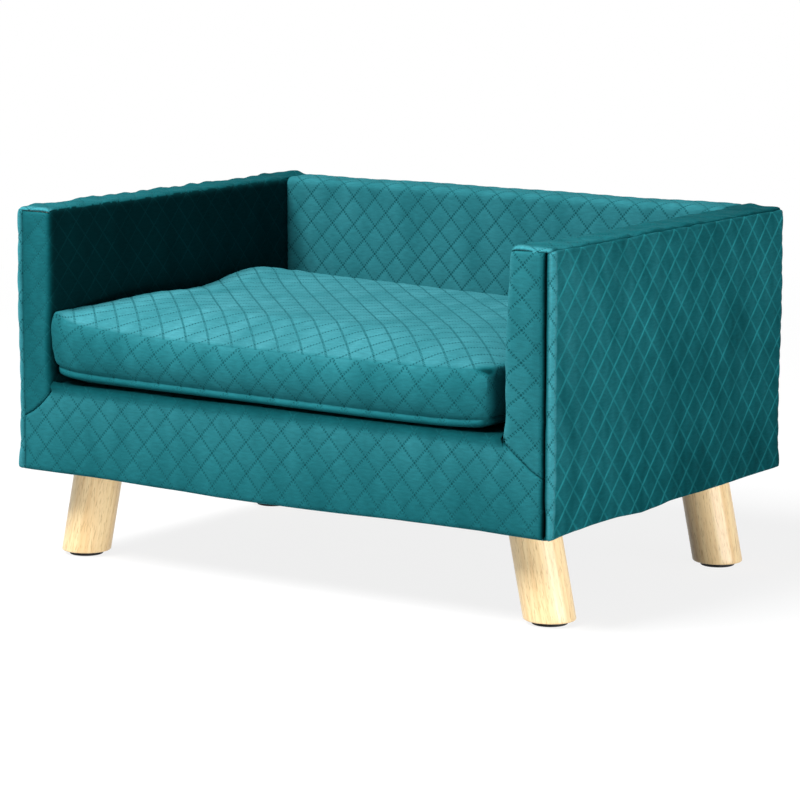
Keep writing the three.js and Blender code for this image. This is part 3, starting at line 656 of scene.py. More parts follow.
def arm_cover(side, seed):
    cloth = new_cloth()
    front_width = seam_x - inner_x
    end_width = outer_x - inner_x
    front_s, rear_s = front_y - side_seam_inset, rear_y + end_width
    seam_depth = corner_seam_depth[side]

    def round_the_outside(s, t):
        past = np.maximum(front_y - s, 0) + np.maximum(s - rear_y, 0)
        return stacked(outer_x - past, np.clip(s, front_y, rear_y), t)

    def on_side(s):
        return np.clip((s - front_y - 0.006) / 0.004, 0, 1)

    def behind(s):
        return np.clip((s - rear_y) / 0.004, 0, 1)

    # Painted light on the outer panel: a painted highlight down the front corner's round, painted
    # shade over the side, lighter towards the front and the top, painted darker towards the bottom
    # and on the rear face, with random brushed streaks.
    def outside_painted_light(s, t):
        shine = np.clip((0.02 - s) / 0.3, 0, 1) * 0.5 + np.clip((t - 0.2) / 0.16, 0, 1) * 0.2
        brushed = 1 + 0.2 * slow_wave(stacked(s, t * 0.45, 0), 0.008, seed)
        brushed = brushed + 0.3 * slow_wave(stacked(s + 0.3 * t, t * 0.3, 0), 0.025, seed)
        low = np.interp(t, [bottom_z, bottom_z + 0.07], [0.78, 1])
        side_look = 1.65 * (1 - on_side(s)) + on_side(s) * (0.47 + 0.52 * shine) * brushed * low
        return side_look + behind(s) * (0.9 - side_look)

    lay_panel(cloth, (front_s, rear_s), (bottom_z, top_z), round_the_outside, seed=seed,
              nap_and_painted_light=outside_painted_light, quilt=side_quilt_height, painted_line_highlight=lambda s, t: on_side(s) - behind(s),
              folds=[front_s], seams=[
        (lambda s, t: s - front_s, 0.009, seam_depth, 0.0012, 0.017),
        (lambda s, t: top_z - t, 0.002, 0.0005, 0.0014, 0.019),
        (lambda s, t: rear_s - s, 0.003, 0.0012, 0, 1),
        (lambda s, t: t - bottom_z, 0.001, 0, 0.0016, 0.045),
    ])

    def round_the_inside(s, t):
        return stacked(inner_x + np.maximum(front_y - s, 0), np.maximum(s, front_y), t)

    def front_room(s, t):
        return -past_foot_seam(inner_x + front_y - s, t)

    # Painted light and shade: the left arm's front and inner face are painted dark, darkest inside;
    # the right arm gets a painted highlight on the round of its inner front edge.
    def inside_painted_light(s, t):
        if side < 0:
            shift = 0.0045 * np.exp(-((t - rail_z - 0.03) / 0.045) ** 2)
            return np.interp(s + shift, [front_y - 0.006, front_y - 0.001, front_y + 0.004, rear_y],
                             [0.61, 0.28, 0.12, 0.23])
        return np.interp(s, [front_y - 0.007, front_y - 0.001, front_y + 0.012], [0.87, 1.15, 0.8])

    front_seams = [
        (lambda s, t: s - front_y + front_width, corner_seam_width, seam_depth, 0.001, 0.017),
        (lambda s, t: top_z - top_roll - t, 0.002, 0.0016, 0.0004, 0.02),
        (lambda s, t: front_room(s, t) + np.maximum(t - rail_z, 0), *foot_seam),
    ]
    lay_panel(cloth, (front_y - front_width, front_y), (rail_z - arm_seam_drop, top_z - top_roll),
              round_the_inside, room=front_room, seams=front_seams, seed=seed,
              folds=[front_y - front_width], nap_and_painted_light=inside_painted_light)
    lay_panel(cloth, (front_y, back_y + tuck), (rail_z - tuck, top_z), round_the_inside,
              seed=seed, nap_and_painted_light=inside_painted_light)

    def over_the_top(s, t):
        down = np.maximum(front_y - s, 0)
        return stacked(inner_x + t - top_z, np.maximum(s, front_y), top_z - down)

    def top_room(s, t):
        return np.where(s < front_y - 1e-6, seam_x - inner_x - t + top_z, 1)

    def top_swell(s, t):
        across = np.clip((t - top_z) / 0.012, 0, 1)
        creases = 0.002 * slow_wave(stacked(s * 0.8, t * 0.6, 0), 0.014, seed + 5) * across
        along = ((rear_y - s - 0.012) / 0.012) ** 2
        inwards = ((t - top_z - 0.014) / 0.01) ** 2
        return creases + 0.0035 * np.exp(-along - inwards) * across

    # The top gets a painted highlight along its front edge and is painted darker towards the rear.
    lay_panel(cloth, (front_y - top_roll, rear_y), (top_z, top_z + end_width), over_the_top,
              room=top_room, seed=seed, swell=top_swell, seams=[
        (lambda s, t: s - front_y + top_roll, 0.0025, 0.0009, 0.0014, 0.022),
        (lambda s, t: top_z + end_width - t, 0.003, 0.0009, 0.0014, 0.019),
        (lambda s, t: t - top_z + np.maximum(back_y + 0.003 - s, 0), 0.003, 0.0009, 0, 1),
        (lambda s, t: rear_y - s, 0.003, 0.0009, 0.001, 0.02),
    ], nap_and_painted_light=lambda s, t: np.interp(s, [front_y + 0.001, front_y + 0.008, rear_y], [1.7, 0.78, 0.33]))

    def under_the_side(s, t):
        return stacked(outer_x + t - bottom_z, s, bottom_z)

    def under_the_rear(s, t):
        return stacked(s, rear_y + t - bottom_z, bottom_z)

    lay_panel(cloth, (front_y, rear_y), (bottom_z - hem_width, bottom_z), under_the_side, quilt=0,
              room=lambda s, t: np.minimum(s - front_y, rear_y - s) + t - bottom_z)
    lay_panel(cloth, (inner_x, outer_x), (bottom_z - hem_width, bottom_z), under_the_rear, quilt=0,
              room=lambda s, t: outer_x - s + t - bottom_z)

    # Past the face of the back, the arm runs on into it, and its inner edge isn't rounded there.
    y = np.concatenate(cloth["sharp"])[:, 1]
    run_on = soft_corner * np.clip((y - back_y - tuck - 0.0005) / 0.004, 0, 1)
    name = "left" if side < 0 else "right"
    cover = sewn_cover("velvet_arm_" + name, cloth, stacked(inner_x - run_on, front_y, bottom_z),
                       (outer_x, rear_y, top_z), arm_radius, side, seed)
    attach(cover, "root")
    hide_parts("arm_cover_" + name)


def front_cover():
    cloth = new_cloth()
    middle_x = inner_x - gap
    foot_tuck = 0.0015
    hem = (lambda s, t: t - bottom_z, 0.001, 0, 0.0012, 0.06)

    def over_the_rail(s, t):
        return stacked(s, front_y + np.maximum(t - rail_z, 0), np.minimum(t, rail_z))

    def foot_room(s, t):
        return past_foot_seam(np.abs(s), t)

    # Painted shade: darker towards the bottom, and much darker over the top of the rail, under the
    # cushion.
    def front_painted_shade(s, t):
        heights = [bottom_z, bottom_z + 0.04, rail_z - 0.012, rail_z - 0.005, rail_z]
        return np.interp(t, heights, [0.67, 0.8, 0.93, 0.55, 0.18])

    def rail_bead(s, t):
        return 0.003 * np.exp(-((t - rail_z) / 0.005) ** 2)

    lay_panel(cloth, (-middle_x, middle_x), (bottom_z, rail_z + flap_depth), over_the_rail,
              seed=front_seed, nap_and_painted_light=front_painted_shade, swell=rail_bead, seams=[hem])
    for side in (-1, 1):
        ends = sorted((side * middle_x, side * seam_x))
        lay_panel(cloth, ends, (bottom_z, rail_z), over_the_rail,
                  room=lambda s, t: foot_room(s, t) + foot_tuck, seed=front_seed, nap_and_painted_light=front_painted_shade,
                  folds=[side * seam_x], seams=[
                      (lambda s, t: seam_x - np.abs(s), corner_seam_width, corner_seam_depth[side],
                       0.0012, 0.017),
                      (foot_room, *foot_seam),
                      hem,
                  ])

    def under_the_front(s, t):
        return stacked(s, front_y - t + bottom_z, bottom_z)

    lay_panel(cloth, (-seam_x, seam_x), (bottom_z - hem_width, bottom_z), under_the_front, quilt=0,
              room=lambda s, t: outer_x - np.abs(s) + t - bottom_z)

    def rail_radius(sharp):
        beside_arm = np.interp(np.abs(sharp[:, 0]), [inner_x - 0.016, inner_x],
                               [soft_corner, 0.001])
        return np.where(sharp[:, 2] > (bottom_z + rail_z) / 2, beside_arm, form_radius(sharp))

    cover = sewn_cover("velvet_front", cloth, (-1, front_y, bottom_z), (1, 1, rail_z), rail_radius,
                       seed=front_seed)
    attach(cover, "root")
    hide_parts("front_cover")


def back_cover():
    cloth = new_cloth()
    over = top_z + rear_y - back_y

    def over_the_back(s, t):
        y = back_y + np.clip(t - top_z, 0, rear_y - back_y)
        return stacked(s, y, np.minimum(t, top_z) - np.maximum(t - over, 0))

    lay_panel(cloth, (-inner_x - tuck, inner_x + tuck), (rail_z - tuck, over + top_z - bottom_z),
              over_the_back, seed=back_seed, folds=[-inner_x, inner_x], seams=[
        (lambda s, t: inner_x - np.abs(s), 0.003, 0.0012, 0, 1),
        (lambda s, t: over + top_z - bottom_z - t, 0.001, 0, 0.0014, 0.05),
    ])

    def under_the_back(s, t):
        return stacked(s, rear_y + t - bottom_z, bottom_z)

    lay_panel(cloth, (-inner_x, inner_x), (bottom_z - hem_width, bottom_z), under_the_back, quilt=0)
    cover = sewn_cover("velvet_back", cloth, (-1, back_y, bottom_z), (1, rear_y, top_z),
                       form_radius, seed=back_seed)
    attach(cover, "root")
    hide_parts("back_cover")


arm_cover(-1, 1.3)
arm_cover(1, 2.9)
front_cover()
back_cover()


# Deck cloth
# A plain black lining cloth stretched over the seat board and stapled down, hidden by the cushion.
# Spun polyester, pressed in a pattern of small squares, with slow ripples.

lining_colour = "#1E1F21"
lining_worn_colour = "#303236"
lining_dimple_spacing = 0.0018
deck_low, deck_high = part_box("deck_cover")
deck_thickness = 0.0008
deck_step = 0.01
ripple_height = 0.0002


def spun_lining():
    """Black non-woven polyester: dull, with a faint grid of pressed dimples and grey fuzz."""
    material, tree, shader = new_finish("spun_lining", 0.9, 0.2)
    place = object_place(tree)
    dimples = add_node(tree, "ShaderNodeTexVoronoi",
                       {"Vector": place, "Scale": 1 / lining_dimple_spacing, "Randomness": 0.15})
    colour = blended(tree, grain_over(tree, place, 180, 4), lining_colour, lining_worn_colour)
    finish_with(tree, shader, colour, dimples.outputs["Distance"], 0.0004)
    return material


def stretched_sheet(name, low, high, step, z, thickness, keep=None):
    """A flat sheet with slow ripples. keep says which of its cells stay, from their middles."""
    shape = bmesh.new()
    columns, rows = (max(2, round((high[axis] - low[axis]) / step)) for axis in (0, 1))
    bmesh.ops.create_grid(shape, x_segments=columns, y_segments=rows, size=0.5)
    for vert in shape.verts:
        x = low[0] + (vert.co.x + 0.5) * (high[0] - low[0])
        y = low[1] + (vert.co.y + 0.5) * (high[1] - low[1])
        vert.co = (x, y, z + ripple_height * noise.noise(Vector((x, y, 0)) / 0.05))
    if keep:
        lost = [face for face in shape.faces if not keep(face.calc_center_median())]
        bmesh.ops.delete(shape, geom=lost, context="FACES")
    mesh = bpy.data.meshes.new(name)
    shape.to_mesh(mesh)
    shape.free()
    sheet = shown(name, mesh, lining)
    give_thickness(sheet, thickness)
    return sheet


lining = spun_lining()
deck = stretched_sheet("deck_cloth", deck_low, deck_high, deck_step, deck_high.z - ripple_height,
                       deck_thickness)
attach(deck, "root")
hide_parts("deck_cover")


# Dust cover
# The same black cloth under the frame, laid over the velvet's turned-in hem and held by a row of
# staples. Each leg's bolt goes through a round hole in it.

dust_inset = 0.011
dust_thickness = 0.0005
dust_step = 0.0025
dust_hole_radius = 0.0055
staple_pitch = 0.032
staple_crown = 0.0105
staple_wire = 0.0007
staple_inset = 0.004
joint_of = {joint["name"]: joint for joint in frame["joints"]}
bolt_axis = {corner: Vector(joint_of["leg_turn_" + corner]["pos_m"]) for corner in corner_names}

dust_low = Vector((-outer_x + dust_inset, front_y + dust_inset, 0))
dust_high = Vector((outer_x - dust_inset, rear_y - dust_inset, 0))


def clear_of_bolts(middle):
    return all((middle.xy - axis.xy).length > dust_hole_radius for axis in bolt_axis.values())


dust = stretched_sheet("dust_cloth", dust_low, dust_high, dust_step,
                       bottom_z + dust_thickness + ripple_height, dust_thickness, clear_of_bolts)
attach(dust, "root")
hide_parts("dust_cover")


def new_geometry_tree(name, sizes):
    """A geometry tree with one named input for each size, and its start and end nodes."""
    tree = bpy.data.node_groups.new(name, "GeometryNodeTree")
    tree.interface.new_socket("Geometry", in_out="INPUT", socket_type="NodeSocketGeometry")
    for size, value in sizes.items():
        socket = tree.interface.new_socket(size, in_out="INPUT", socket_type="NodeSocketFloat")
        socket.default_value = value
    tree.interface.new_socket("Geometry", in_out="OUTPUT", socket_type="NodeSocketGeometry")
    return tree, tree.nodes.new("NodeGroupInput"), tree.nodes.new("NodeGroupOutput")


def grown(name, path, tree, sizes, material):
    """Runs a geometry tree on a path and returns the plain mesh that it makes."""
    carrier = bpy.data.objects.new(name + "_path", path)
    bpy.context.scene.collection.objects.link(carrier)
    modifier = carrier.modifiers.new(name, "NODES")
    modifier.node_group = tree
    for item in tree.interface.items_tree:
        if item.in_out == "INPUT" and item.name in sizes:
            modifier[item.identifier] = sizes[item.name]
    mesh = bpy.data.meshes.new_from_object(shaped(carrier))
    mesh.name = name
    bpy.data.objects.remove(carrier)
    return shown(name, mesh, material)


def spots_along(tree, start):
    """Points at an even pitch on the path, each turned to lie along it."""
    line = add_node(tree, "GeometryNodeMeshToCurve", {"Mesh": start.outputs["Geometry"]})
    inputs = {"Curve": line.outputs[0], "Length": start.outputs["Pitch"]}
    return add_node(tree, "GeometryNodeCurveToPoints", inputs, mode="LENGTH").outputs


def end_with(tree, end, copies, material):
    """Turns the copies into a plain mesh with a finish."""
    whole = add_node(tree, "GeometryNodeRealizeInstances", {"Geometry": copies})
    inputs = {"Geometry": whole.outputs[0], "Material": material}
    tree.links.new(add_node(tree, "GeometryNodeSetMaterial", inputs).outputs[0], end.inputs[0])


def staple_tree(sizes):
    """Staple crowns at an even pitch along a path, each lying along it."""
    tree, start, end = new_geometry_tree("staples", sizes)
    spots = spots_along(tree, start)
    wire = start.outputs["Wire"]
    sides = {"X": wire, "Y": wire, "Z": start.outputs["Crown"]}
    size = add_node(tree, "ShaderNodeCombineXYZ", sides).outputs[0]
    crown = add_node(tree, "GeometryNodeMeshCube", {"Size": size})
    copies = add_node(tree, "GeometryNodeInstanceOnPoints",
                      {"Points": spots["Points"], "Instance": crown.outputs["Mesh"],
                       "Rotation": spots["Rotation"]})
    end_with(tree, end, copies.outputs[0], bright_zinc)
    return tree


def closed_path(points):
    path = bpy.data.meshes.new("path")
    sides = [(number, (number + 1) % len(points)) for number in range(len(points))]
    path.from_pydata(points, sides, [])
    return path


staple_sizes = {"Pitch": staple_pitch, "Crown": staple_crown, "Wire": staple_wire}
staple_z = bottom_z + staple_wire * 0.2
staple_low_x, staple_high_x = dust_low.x + staple_inset, dust_high.x - staple_inset
staple_low_y, staple_high_y = dust_low.y + staple_inset, dust_high.y - staple_inset
staple_line = closed_path([
    (staple_low_x, staple_low_y, staple_z), (staple_high_x, staple_low_y, staple_z),
    (staple_high_x, staple_high_y, staple_z), (staple_low_x, staple_high_y, staple_z),
])
staples = grown("dust_cloth_staples", staple_line, staple_tree(staple_sizes), staple_sizes,
                bright_zinc)
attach(staples, "root")


# Cushion
# A foam block in a boxed velvet cover: a quilted top and a base sewn to an upright band. The
# lower seam has a soft rolled edge, the foam crowns the top, and the sides pull in between corners.

cushion_low, cushion_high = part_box("cushion_cover")
boxing_bulge = 0.004
boxing_roundness = 6
roll_radius = 0.0032
roll_proud = 0.0014
roll_drop = 0.0036
base_inset = 0.02
# The cushion's base is painted darker, as painted shade under it.
base_painted_shade = 0.6
front_corner_crease = 0.85
cushion_cloth_thickness = 0.0015
filling_reach = 0.0045
filling_frames = 20
corner_reach = 0.028
side_draw_in = 0.002
corner_radius = 0.004
bottom_seam_rise = 0.010
boxing_height = 0.0455
crown_height = 0.020
cushion_step = 0.0058
core_corner_radius = 0.012
top_wrinkle = 0.0006
left_swell = 0.003
front_swell = 0.0035
seam_low_x, seam_high_x = cushion_low.x - left_swell + boxing_bulge, cushion_high.x - boxing_bulge
seam_low_y, seam_high_y = cushion_low.y - front_swell + boxing_bulge, cushion_high.y - 0.001
seam_half_x, cushion_x = (seam_high_x - seam_low_x) / 2, (seam_high_x + seam_low_x) / 2
seam_half_y, cushion_y = (seam_high_y - seam_low_y) / 2, (seam_high_y + seam_low_y) / 2
bottom_seam_z = cushion_low.z + bottom_seam_rise
top_seam_z = bottom_seam_z + boxing_height


def cushion_plan(u, v, half_x, half_y, radius):
    """A spot in the cushion's plan. u and v go from -1 to 1, the corners are round, and all
    sides but the rear draw in a little between them."""
    x, y = u * half_x, v * half_y
    over_x = np.maximum(np.abs(x) - half_x + radius, 0)
    over_y = np.maximum(np.abs(y) - half_y + radius, 0)
    length = np.maximum(np.hypot(over_x, over_y), 1e-9)
    pull = np.where((over_x > 0) & (over_y > 0), 1 - np.maximum(over_x, over_y) / length, 0)
    x = x - np.sign(x) * over_x * pull - np.sign(x) * side_draw_in * u * u * (1 - v * v)
    y = y - np.sign(y) * over_y * pull + np.where(v < 0, side_draw_in * v * v * (1 - u * u), 0)
    return x + cushion_x, y + cushion_y


def top_seam_rise(u):
    """The top seam climbs to the cushion's ends, most of all where it leans on the left arm."""
    left, right = np.clip(-u, 0, 1), np.clip(u, 0, 1)
    return 0.010 * left ** 3.5 + 0.009 * left ** 30 + 0.006 * right ** 6


def bottom_seam_lift(u):
    """The lower seam lifts off the deck at the corners and a little all along to the left."""
    left, right = np.clip(-u, 0, 1), np.clip(u, 0, 1)
    return 0.0035 * np.clip((0.5 - u) / 1.5, 0, 1) + 0.006 * left ** 12 + 0.005 * right ** 10


def cushion_top(u, v):
    """The height of the foam's crown above the top seam's lowest point."""
    shoulder_u = 1 - np.where(u < 0, np.abs(u) ** 60, np.abs(u) ** 12)
    shoulder_v = 1 - np.where(v < 0, np.abs(v) ** 8, np.abs(v) ** 30)
    rear_hump = 0.012 * np.exp(-((u + 0.95) / 0.2) ** 2 - ((v - 0.6) / 0.3) ** 2)
    left_hump = 0.0045 * np.exp(-((u + 0.87) / 0.15) ** 2 - ((v + 0.3) / 0.35) ** 2)
    flatter = 0.0035 * np.clip((u + 0.5) / 0.8, 0, 1) * np.clip((v - 0.2) / 0.6, 0, 1)
    full = crown_height + 0.0015 * np.clip(-u, 0, 1) + rear_hump + left_hump - flatter
    return top_seam_rise(u) + shoulder_u * shoulder_v * (full - top_seam_rise(u))


def cushion_painted_light(u, v):
    """The top is painted lighter, as if lit from above, more so on the left, with painted shade in a
    darker edge beside the seam.
    """
    to_edge = np.minimum((1 - np.abs(u)) * seam_half_x, (1 - np.abs(v)) * seam_half_y)
    return np.interp(u, [-1, 1], [1.42, 1.2]) * np.interp(to_edge, [0, 0.0058], [0.7, 1])


def boxing_painted_light(u, height):
    """Painted light and shade on the band: a little darker at its ends and lower down, lighter just
    under the top seam, and the roll painted dark underneath.
    """
    along = np.interp(u, [-1, -0.3, 0.3, 1], [0.7, 0.86, 0.86, 0.74])
    edge = bottom_seam_z - roll_drop
    heights = [edge - roll_radius, edge, edge + roll_radius, bottom_seam_z + 0.003,
               top_seam_z - 0.008, top_seam_z]
    return along * np.interp(height, heights, [0.45, 0.65, 0.92, 0.94, 1, 1.2])


def cushion_form(name, inset, step, seam_detail):
    """The cushion as one closed net of points, with the distance from each point to a seam."""
    half_x, half_y = seam_half_x - inset, seam_half_y - inset
    columns, rows = round(2 * half_x / step), round(2 * half_y / step)
    u, v = np.meshgrid(np.linspace(-1, 1, columns + 1), np.linspace(-1, 1, rows + 1), indexing="ij")
    number = np.arange(u.size).reshape(u.shape)
    cells = grid_cells(number)
    edge = np.concatenate([number[:-1, 0], number[-1, :-1], number[:0:-1, -1], number[0, :0:-1]])
    u, v = u.ravel(), v.ravel()

    radius = corner_radius if seam_detail else core_corner_radius
    x, y = cushion_plan(u, v, half_x, half_y, radius)
    points = [np.stack([x, y, top_seam_z - inset + cushion_top(u, v)], 1)]
    places = np.stack([x, y], 1)
    ways = [np.minimum((1 - np.abs(u)) * half_x, (1 - np.abs(v)) * half_y)]
    faces = cells.tolist()
    face_places = [places[cell] for cell in cells]

    u_edge, v_edge = u[edge], v[edge]
    top_rise, low_rise = top_seam_rise(u_edge), bottom_seam_lift(u_edge)
    looks = [cushion_painted_light(u, v)[cells].ravel()]
    shares = np.linspace(0, 1, max(3, round(boxing_height / step)) + 1)[1:-1]
    tall = top_seam_z - bottom_seam_z - 2 * inset
    levels = [(boxing_bulge * (1 - abs(2 * share - 1) ** boxing_roundness),
               top_seam_z - inset - share * tall, min(share, 1 - share) * tall) for share in shares]
    if seam_detail:
        levels.insert(0, (boxing_bulge * 0.5, top_seam_z - 0.0018, 0.0018))
        levels += [(boxing_bulge * 0.7, bottom_seam_z + 0.0018, 0.002), (0, bottom_seam_z, 0)]
        turn = np.radians([62, 22, -18, -58, -95])
        levels += [(roll_proud + roll_radius * math.cos(angle),
                    bottom_seam_z - roll_drop + roll_radius * math.sin(angle), 0) for angle in turn]
    else:
        levels.append((0, bottom_seam_z + inset, 0))
    levels.append((-base_inset, cushion_low.z + inset + 0.0006, 0))

    to_corner = np.hypot((1 - np.abs(u_edge)) * half_x, (1 - np.abs(v_edge)) * half_y)
    ending = np.clip(1 - to_corner / corner_reach, 0, 1) ** 2
    ring_above, along, level_above = edge, None, top_seam_z
    total = len(points[0])
    for order, (grow, z, way) in enumerate(levels):
        share = np.clip((z - bottom_seam_z) / (top_seam_z - bottom_seam_z), 0, 1)
        tapered = min(grow, boxing_bulge * (1 - (1 - share) ** 4) - 0.0015 * (share == 0))
        grow = grow + ending * (tapered - grow)
        x, y = cushion_plan(u_edge, v_edge, half_x + grow, half_y + grow, radius)
        lifted = share * top_rise + (1 - share) * low_rise
        ring = np.stack([x, y, z + lifted * (order < len(levels) - 1)], 1)
        if along is None:
            legs = np.linalg.norm(np.diff(ring[:, :2], axis=0, append=ring[:1, :2]), axis=1)
            along = np.concatenate([[0], np.cumsum(legs)]) - half_x
        points.append(ring)
        ways.append(np.full(len(ring), way))
        here = np.arange(total, total + len(ring))
        total += len(ring)
        for spot in range(len(ring)):
            after = (spot + 1) % len(ring)
            faces.append([ring_above[spot], here[spot], here[after], ring_above[after]])
            low_s, high_s = along[spot], along[spot + 1]
            face_places.append([(low_s, level_above), (low_s, z), (high_s, z),
                                (high_s, level_above)])
        above, below = boxing_painted_light(u_edge, level_above), boxing_painted_light(u_edge, z)
        looks.append(np.stack([above, below, np.roll(below, -1), np.roll(above, -1)], 1).ravel())
        ring_above, level_above = here, z

    x, y = cushion_plan(u, v, half_x - base_inset, half_y - base_inset, 0.003)
    inner = np.ones(len(u), bool)
    inner[edge] = False
    base_number = np.full(len(u), -1)
    base_number[edge] = ring_above
    base_number[inner] = np.arange(total, total + inner.sum())
    points.append(np.stack([x, y, np.full(len(x), cushion_low.z + inset + 0.0004)], 1)[inner])
    ways.append(np.zeros(inner.sum()))
    for cell in cells:
        faces.append(base_number[cell][::-1].tolist())
        face_places.append(np.stack([x, y], 1)[cell][::-1])

    mesh = bpy.data.meshes.new(name)
    mesh.from_pydata(np.concatenate(points).tolist(), [], faces)
    cloth_place = mesh.uv_layers.new(name="Cloth")
    cloth_place.data.foreach_set("uv", np.concatenate(face_places).astype(np.float32).ravel())
    set_values(mesh, "to_seam", np.concatenate(ways))
    front_corners = (np.abs(u_edge) > 0.999) & (v_edge < -0.999)
    creased = set()
    if seam_detail:
        for spot in np.nonzero(front_corners)[0]:
            rings = [len(points[0]) + ring * len(edge) + spot for ring in range(len(levels) - 1)]
            column = [edge[spot], *rings]
            creased |= {tuple(sorted(pair)) for pair in zip(column, column[1:])}
    sharpness = [front_corner_crease * (tuple(sorted(pair.vertices)) in creased)
                 for pair in mesh.edges]
    set_values(mesh, "crease_edge", sharpness, "EDGE")
    looks.append(np.full(4 * len(cells), base_painted_shade))
    set_values(mesh, "nap_and_painted_light", np.concatenate(looks), "CORNER")
    return mesh


def points_of(mesh):
    places = np.zeros(len(mesh.vertices) * 3, np.float32)
    mesh.vertices.foreach_get("co", places)
    return places.reshape(-1, 3).astype(float)


def value_of(mesh, name):
    values = np.zeros(len(mesh.vertices), np.float32)
    mesh.attributes[name].data.foreach_get("value", values)
    return values.astype(float)


def plumped(mesh, reach):
    """The cushion filled from inside by a cloth simulation. Its seams hold, and no point moves
    further than reach. The net is about 6 mm a side, so that the cloth's own places stay on it."""
    rest = points_of(mesh)
    pillow = bpy.data.objects.new("pillow", mesh.copy())
    bpy.context.scene.collection.objects.link(pillow)
    held = pillow.vertex_groups.new(name="held")
    held.add(np.nonzero(value_of(mesh, "to_seam") < 1e-5)[0].tolist(), 1, "REPLACE")
    cloth = pillow.modifiers.new("filling", "CLOTH")
    cloth.settings.vertex_group_mass = "held"
    cloth.settings.use_pressure = True
    cloth.settings.uniform_pressure_force = 4
    cloth.settings.effector_weights.gravity = 0
    cloth.settings.quality = 5
    cloth.settings.tension_stiffness = cloth.settings.compression_stiffness = 12
    cloth.settings.bending_stiffness = 0.4
    for number in range(1, filling_frames + 1):
        bpy.context.scene.frame_set(number)
    filled = points_of(shaped(pillow).data)
    bpy.data.objects.remove(pillow)
    bpy.context.scene.frame_set(1)
    move = filled - rest
    length = np.maximum(np.linalg.norm(move, axis=1), 1e-9)
    return rest + move * np.minimum(1, reach / length)[:, None]


zip_low, zip_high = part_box("cushion_zip")
zip_room = 0.0006


def cushion_cover():
    mesh = cushion_form("velvet_cushion", 0, cushion_step, True)
    rest = points_of(mesh)
    to_corner = np.hypot(np.minimum(rest[:, 0] - seam_low_x, seam_high_x - rest[:, 0]),
                         np.minimum(rest[:, 1] - seam_low_y, seam_high_y - rest[:, 1]))
    filled = plumped(mesh, filling_reach * np.clip(to_corner / 0.02 - 0.1, 0, 1))
    rear = np.clip((rest[:, 1] - cushion_high.y + 0.02) / 0.01, 0, 1)[:, None]
    filled = filled * (1 - rear) + rest * rear
    filled[:, 2] = np.maximum(filled[:, 2], np.minimum(rest[:, 2], cushion_low.z + 0.0006))
    filled = np.clip(filled, [-inner_x - 0.0005, -1, cushion_low.z], [1, cushion_high.y, 1])
    move_points(mesh, filled)
    cover = shown("velvet_cushion", mesh, velvet)
    finer = cover.modifiers.new("finer_net", "SUBSURF")
    finer.levels = finer.render_levels = 1
    mesh = plain_mesh(cover)

    points, to_seam = points_of(mesh), value_of(mesh, "to_seam")
    corners = corner_points(mesh)
    flat = np.zeros((len(corners), 2), np.float32)
    mesh.uv_layers["Cloth"].data.foreach_get("uv", flat.reshape(-1))
    place = np.zeros((len(points), 2))
    place[corners] = flat
    outward = np.zeros((len(points), 3), np.float32)
    mesh.vertex_normals.foreach_get("vector", outward.reshape(-1))
    lift = quilt_height * quilt_lift(place) * np.clip(to_seam / 0.006, 0, 1)
    top_ridge = np.exp(-(to_seam / 0.0016) ** 2) * (points[:, 2] > (top_seam_z + bottom_seam_z) / 2)
    on_top = np.clip((points[:, 2] - top_seam_z - 0.008) / 0.006, 0, 1)
    wrinkles = top_wrinkle * slow_wave(points * [0.7, 1.3, 0], 0.013, 6.1) * on_top
    points += outward * (lift + wrinkles + 0.0009 * top_ridge)[:, None]
    tuck_place = np.array([seam_high_x + 0.001, seam_low_y + 0.004, top_seam_z + 0.006])
    tucked = np.exp(-(((points - tuck_place) / [0.012, 0.008, 0.0045]) ** 2).sum(1))
    points += tucked[:, None] * np.array([-0.002, 0.002, -0.003])
    move_points(mesh, points)
    # The tuck at the right front corner is painted darker, as painted shade in its fold.
    look = np.zeros(len(corners), np.float32)
    mesh.attributes["nap_and_painted_light"].data.foreach_get("value", look)
    look *= 1 - 0.8 * np.clip(tucked[corners] * 1.3, 0, 1)
    mesh.attributes["nap_and_painted_light"].data.foreach_set("value", look)

    shape = bmesh.new()
    shape.from_mesh(mesh)
    # The slot for the zip is cut along its four sides into the rear of the band, and taken out.
    slot_low, slot_high = zip_low - Vector([zip_room] * 3), zip_high + Vector([zip_room] * 3)
    for axis in (0, 2):
        for corner in (slot_low, slot_high):
            rear = [face for face in shape.faces if face.normal.y > 0.7]
            lines = {line for face in rear for line in face.edges}
            spots = {spot for line in lines for spot in line.verts}
            bmesh.ops.bisect_plane(shape, geom=[*rear, *lines, *spots], plane_co=corner,
                                   plane_no=[number == axis for number in range(3)])

    def in_slot(face):
        middle = face.calc_center_median()
        inside = all(slot_low[axis] < middle[axis] < slot_high[axis] for axis in (0, 2))
        return face.normal.y > 0.7 and inside

    slot = [face for face in shape.faces if in_slot(face)]
    bmesh.ops.delete(shape, geom=slot, context="FACES")
    shape.to_mesh(mesh)
    shape.free()
    mesh.shade_smooth()
    mesh.set_sharp_from_angle(angle=math.radians(55))
    give_thickness(cover, cushion_cloth_thickness)
    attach(cover, "cushion")
    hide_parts("cushion_cover")


cushion_cover()

core = shown("cushion_core", cushion_form("cushion_core", 0.0035, 0.018, False), cut_foam)
for vert in core.data.vertices:
    vert.co.y = min(vert.co.y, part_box("cushion_foam")[1].y)
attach(core, "cushion")
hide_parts("cushion_foam")


# Cushion zip
# A closed nylon coil zip on a woven tape, sewn into a slot in the rear band, so that the cover
# comes off for washing. Rows of coil loops mesh along its middle.

zip_tape_colour = "#155A60"
zip_tape_dark_colour = "#0E4449"
zip_rib_spacing = 0.0009
coil_pitch = 0.0016
coil_wire = 0.0009
tape_front_y = cushion_high.y - 0.0016
tape_hem = 0.0015
tape_thickness = 0.0006
coil_end_room = 0.002
coil_reach = 0.0034
zip_z = (zip_low.z + zip_high.z) / 2


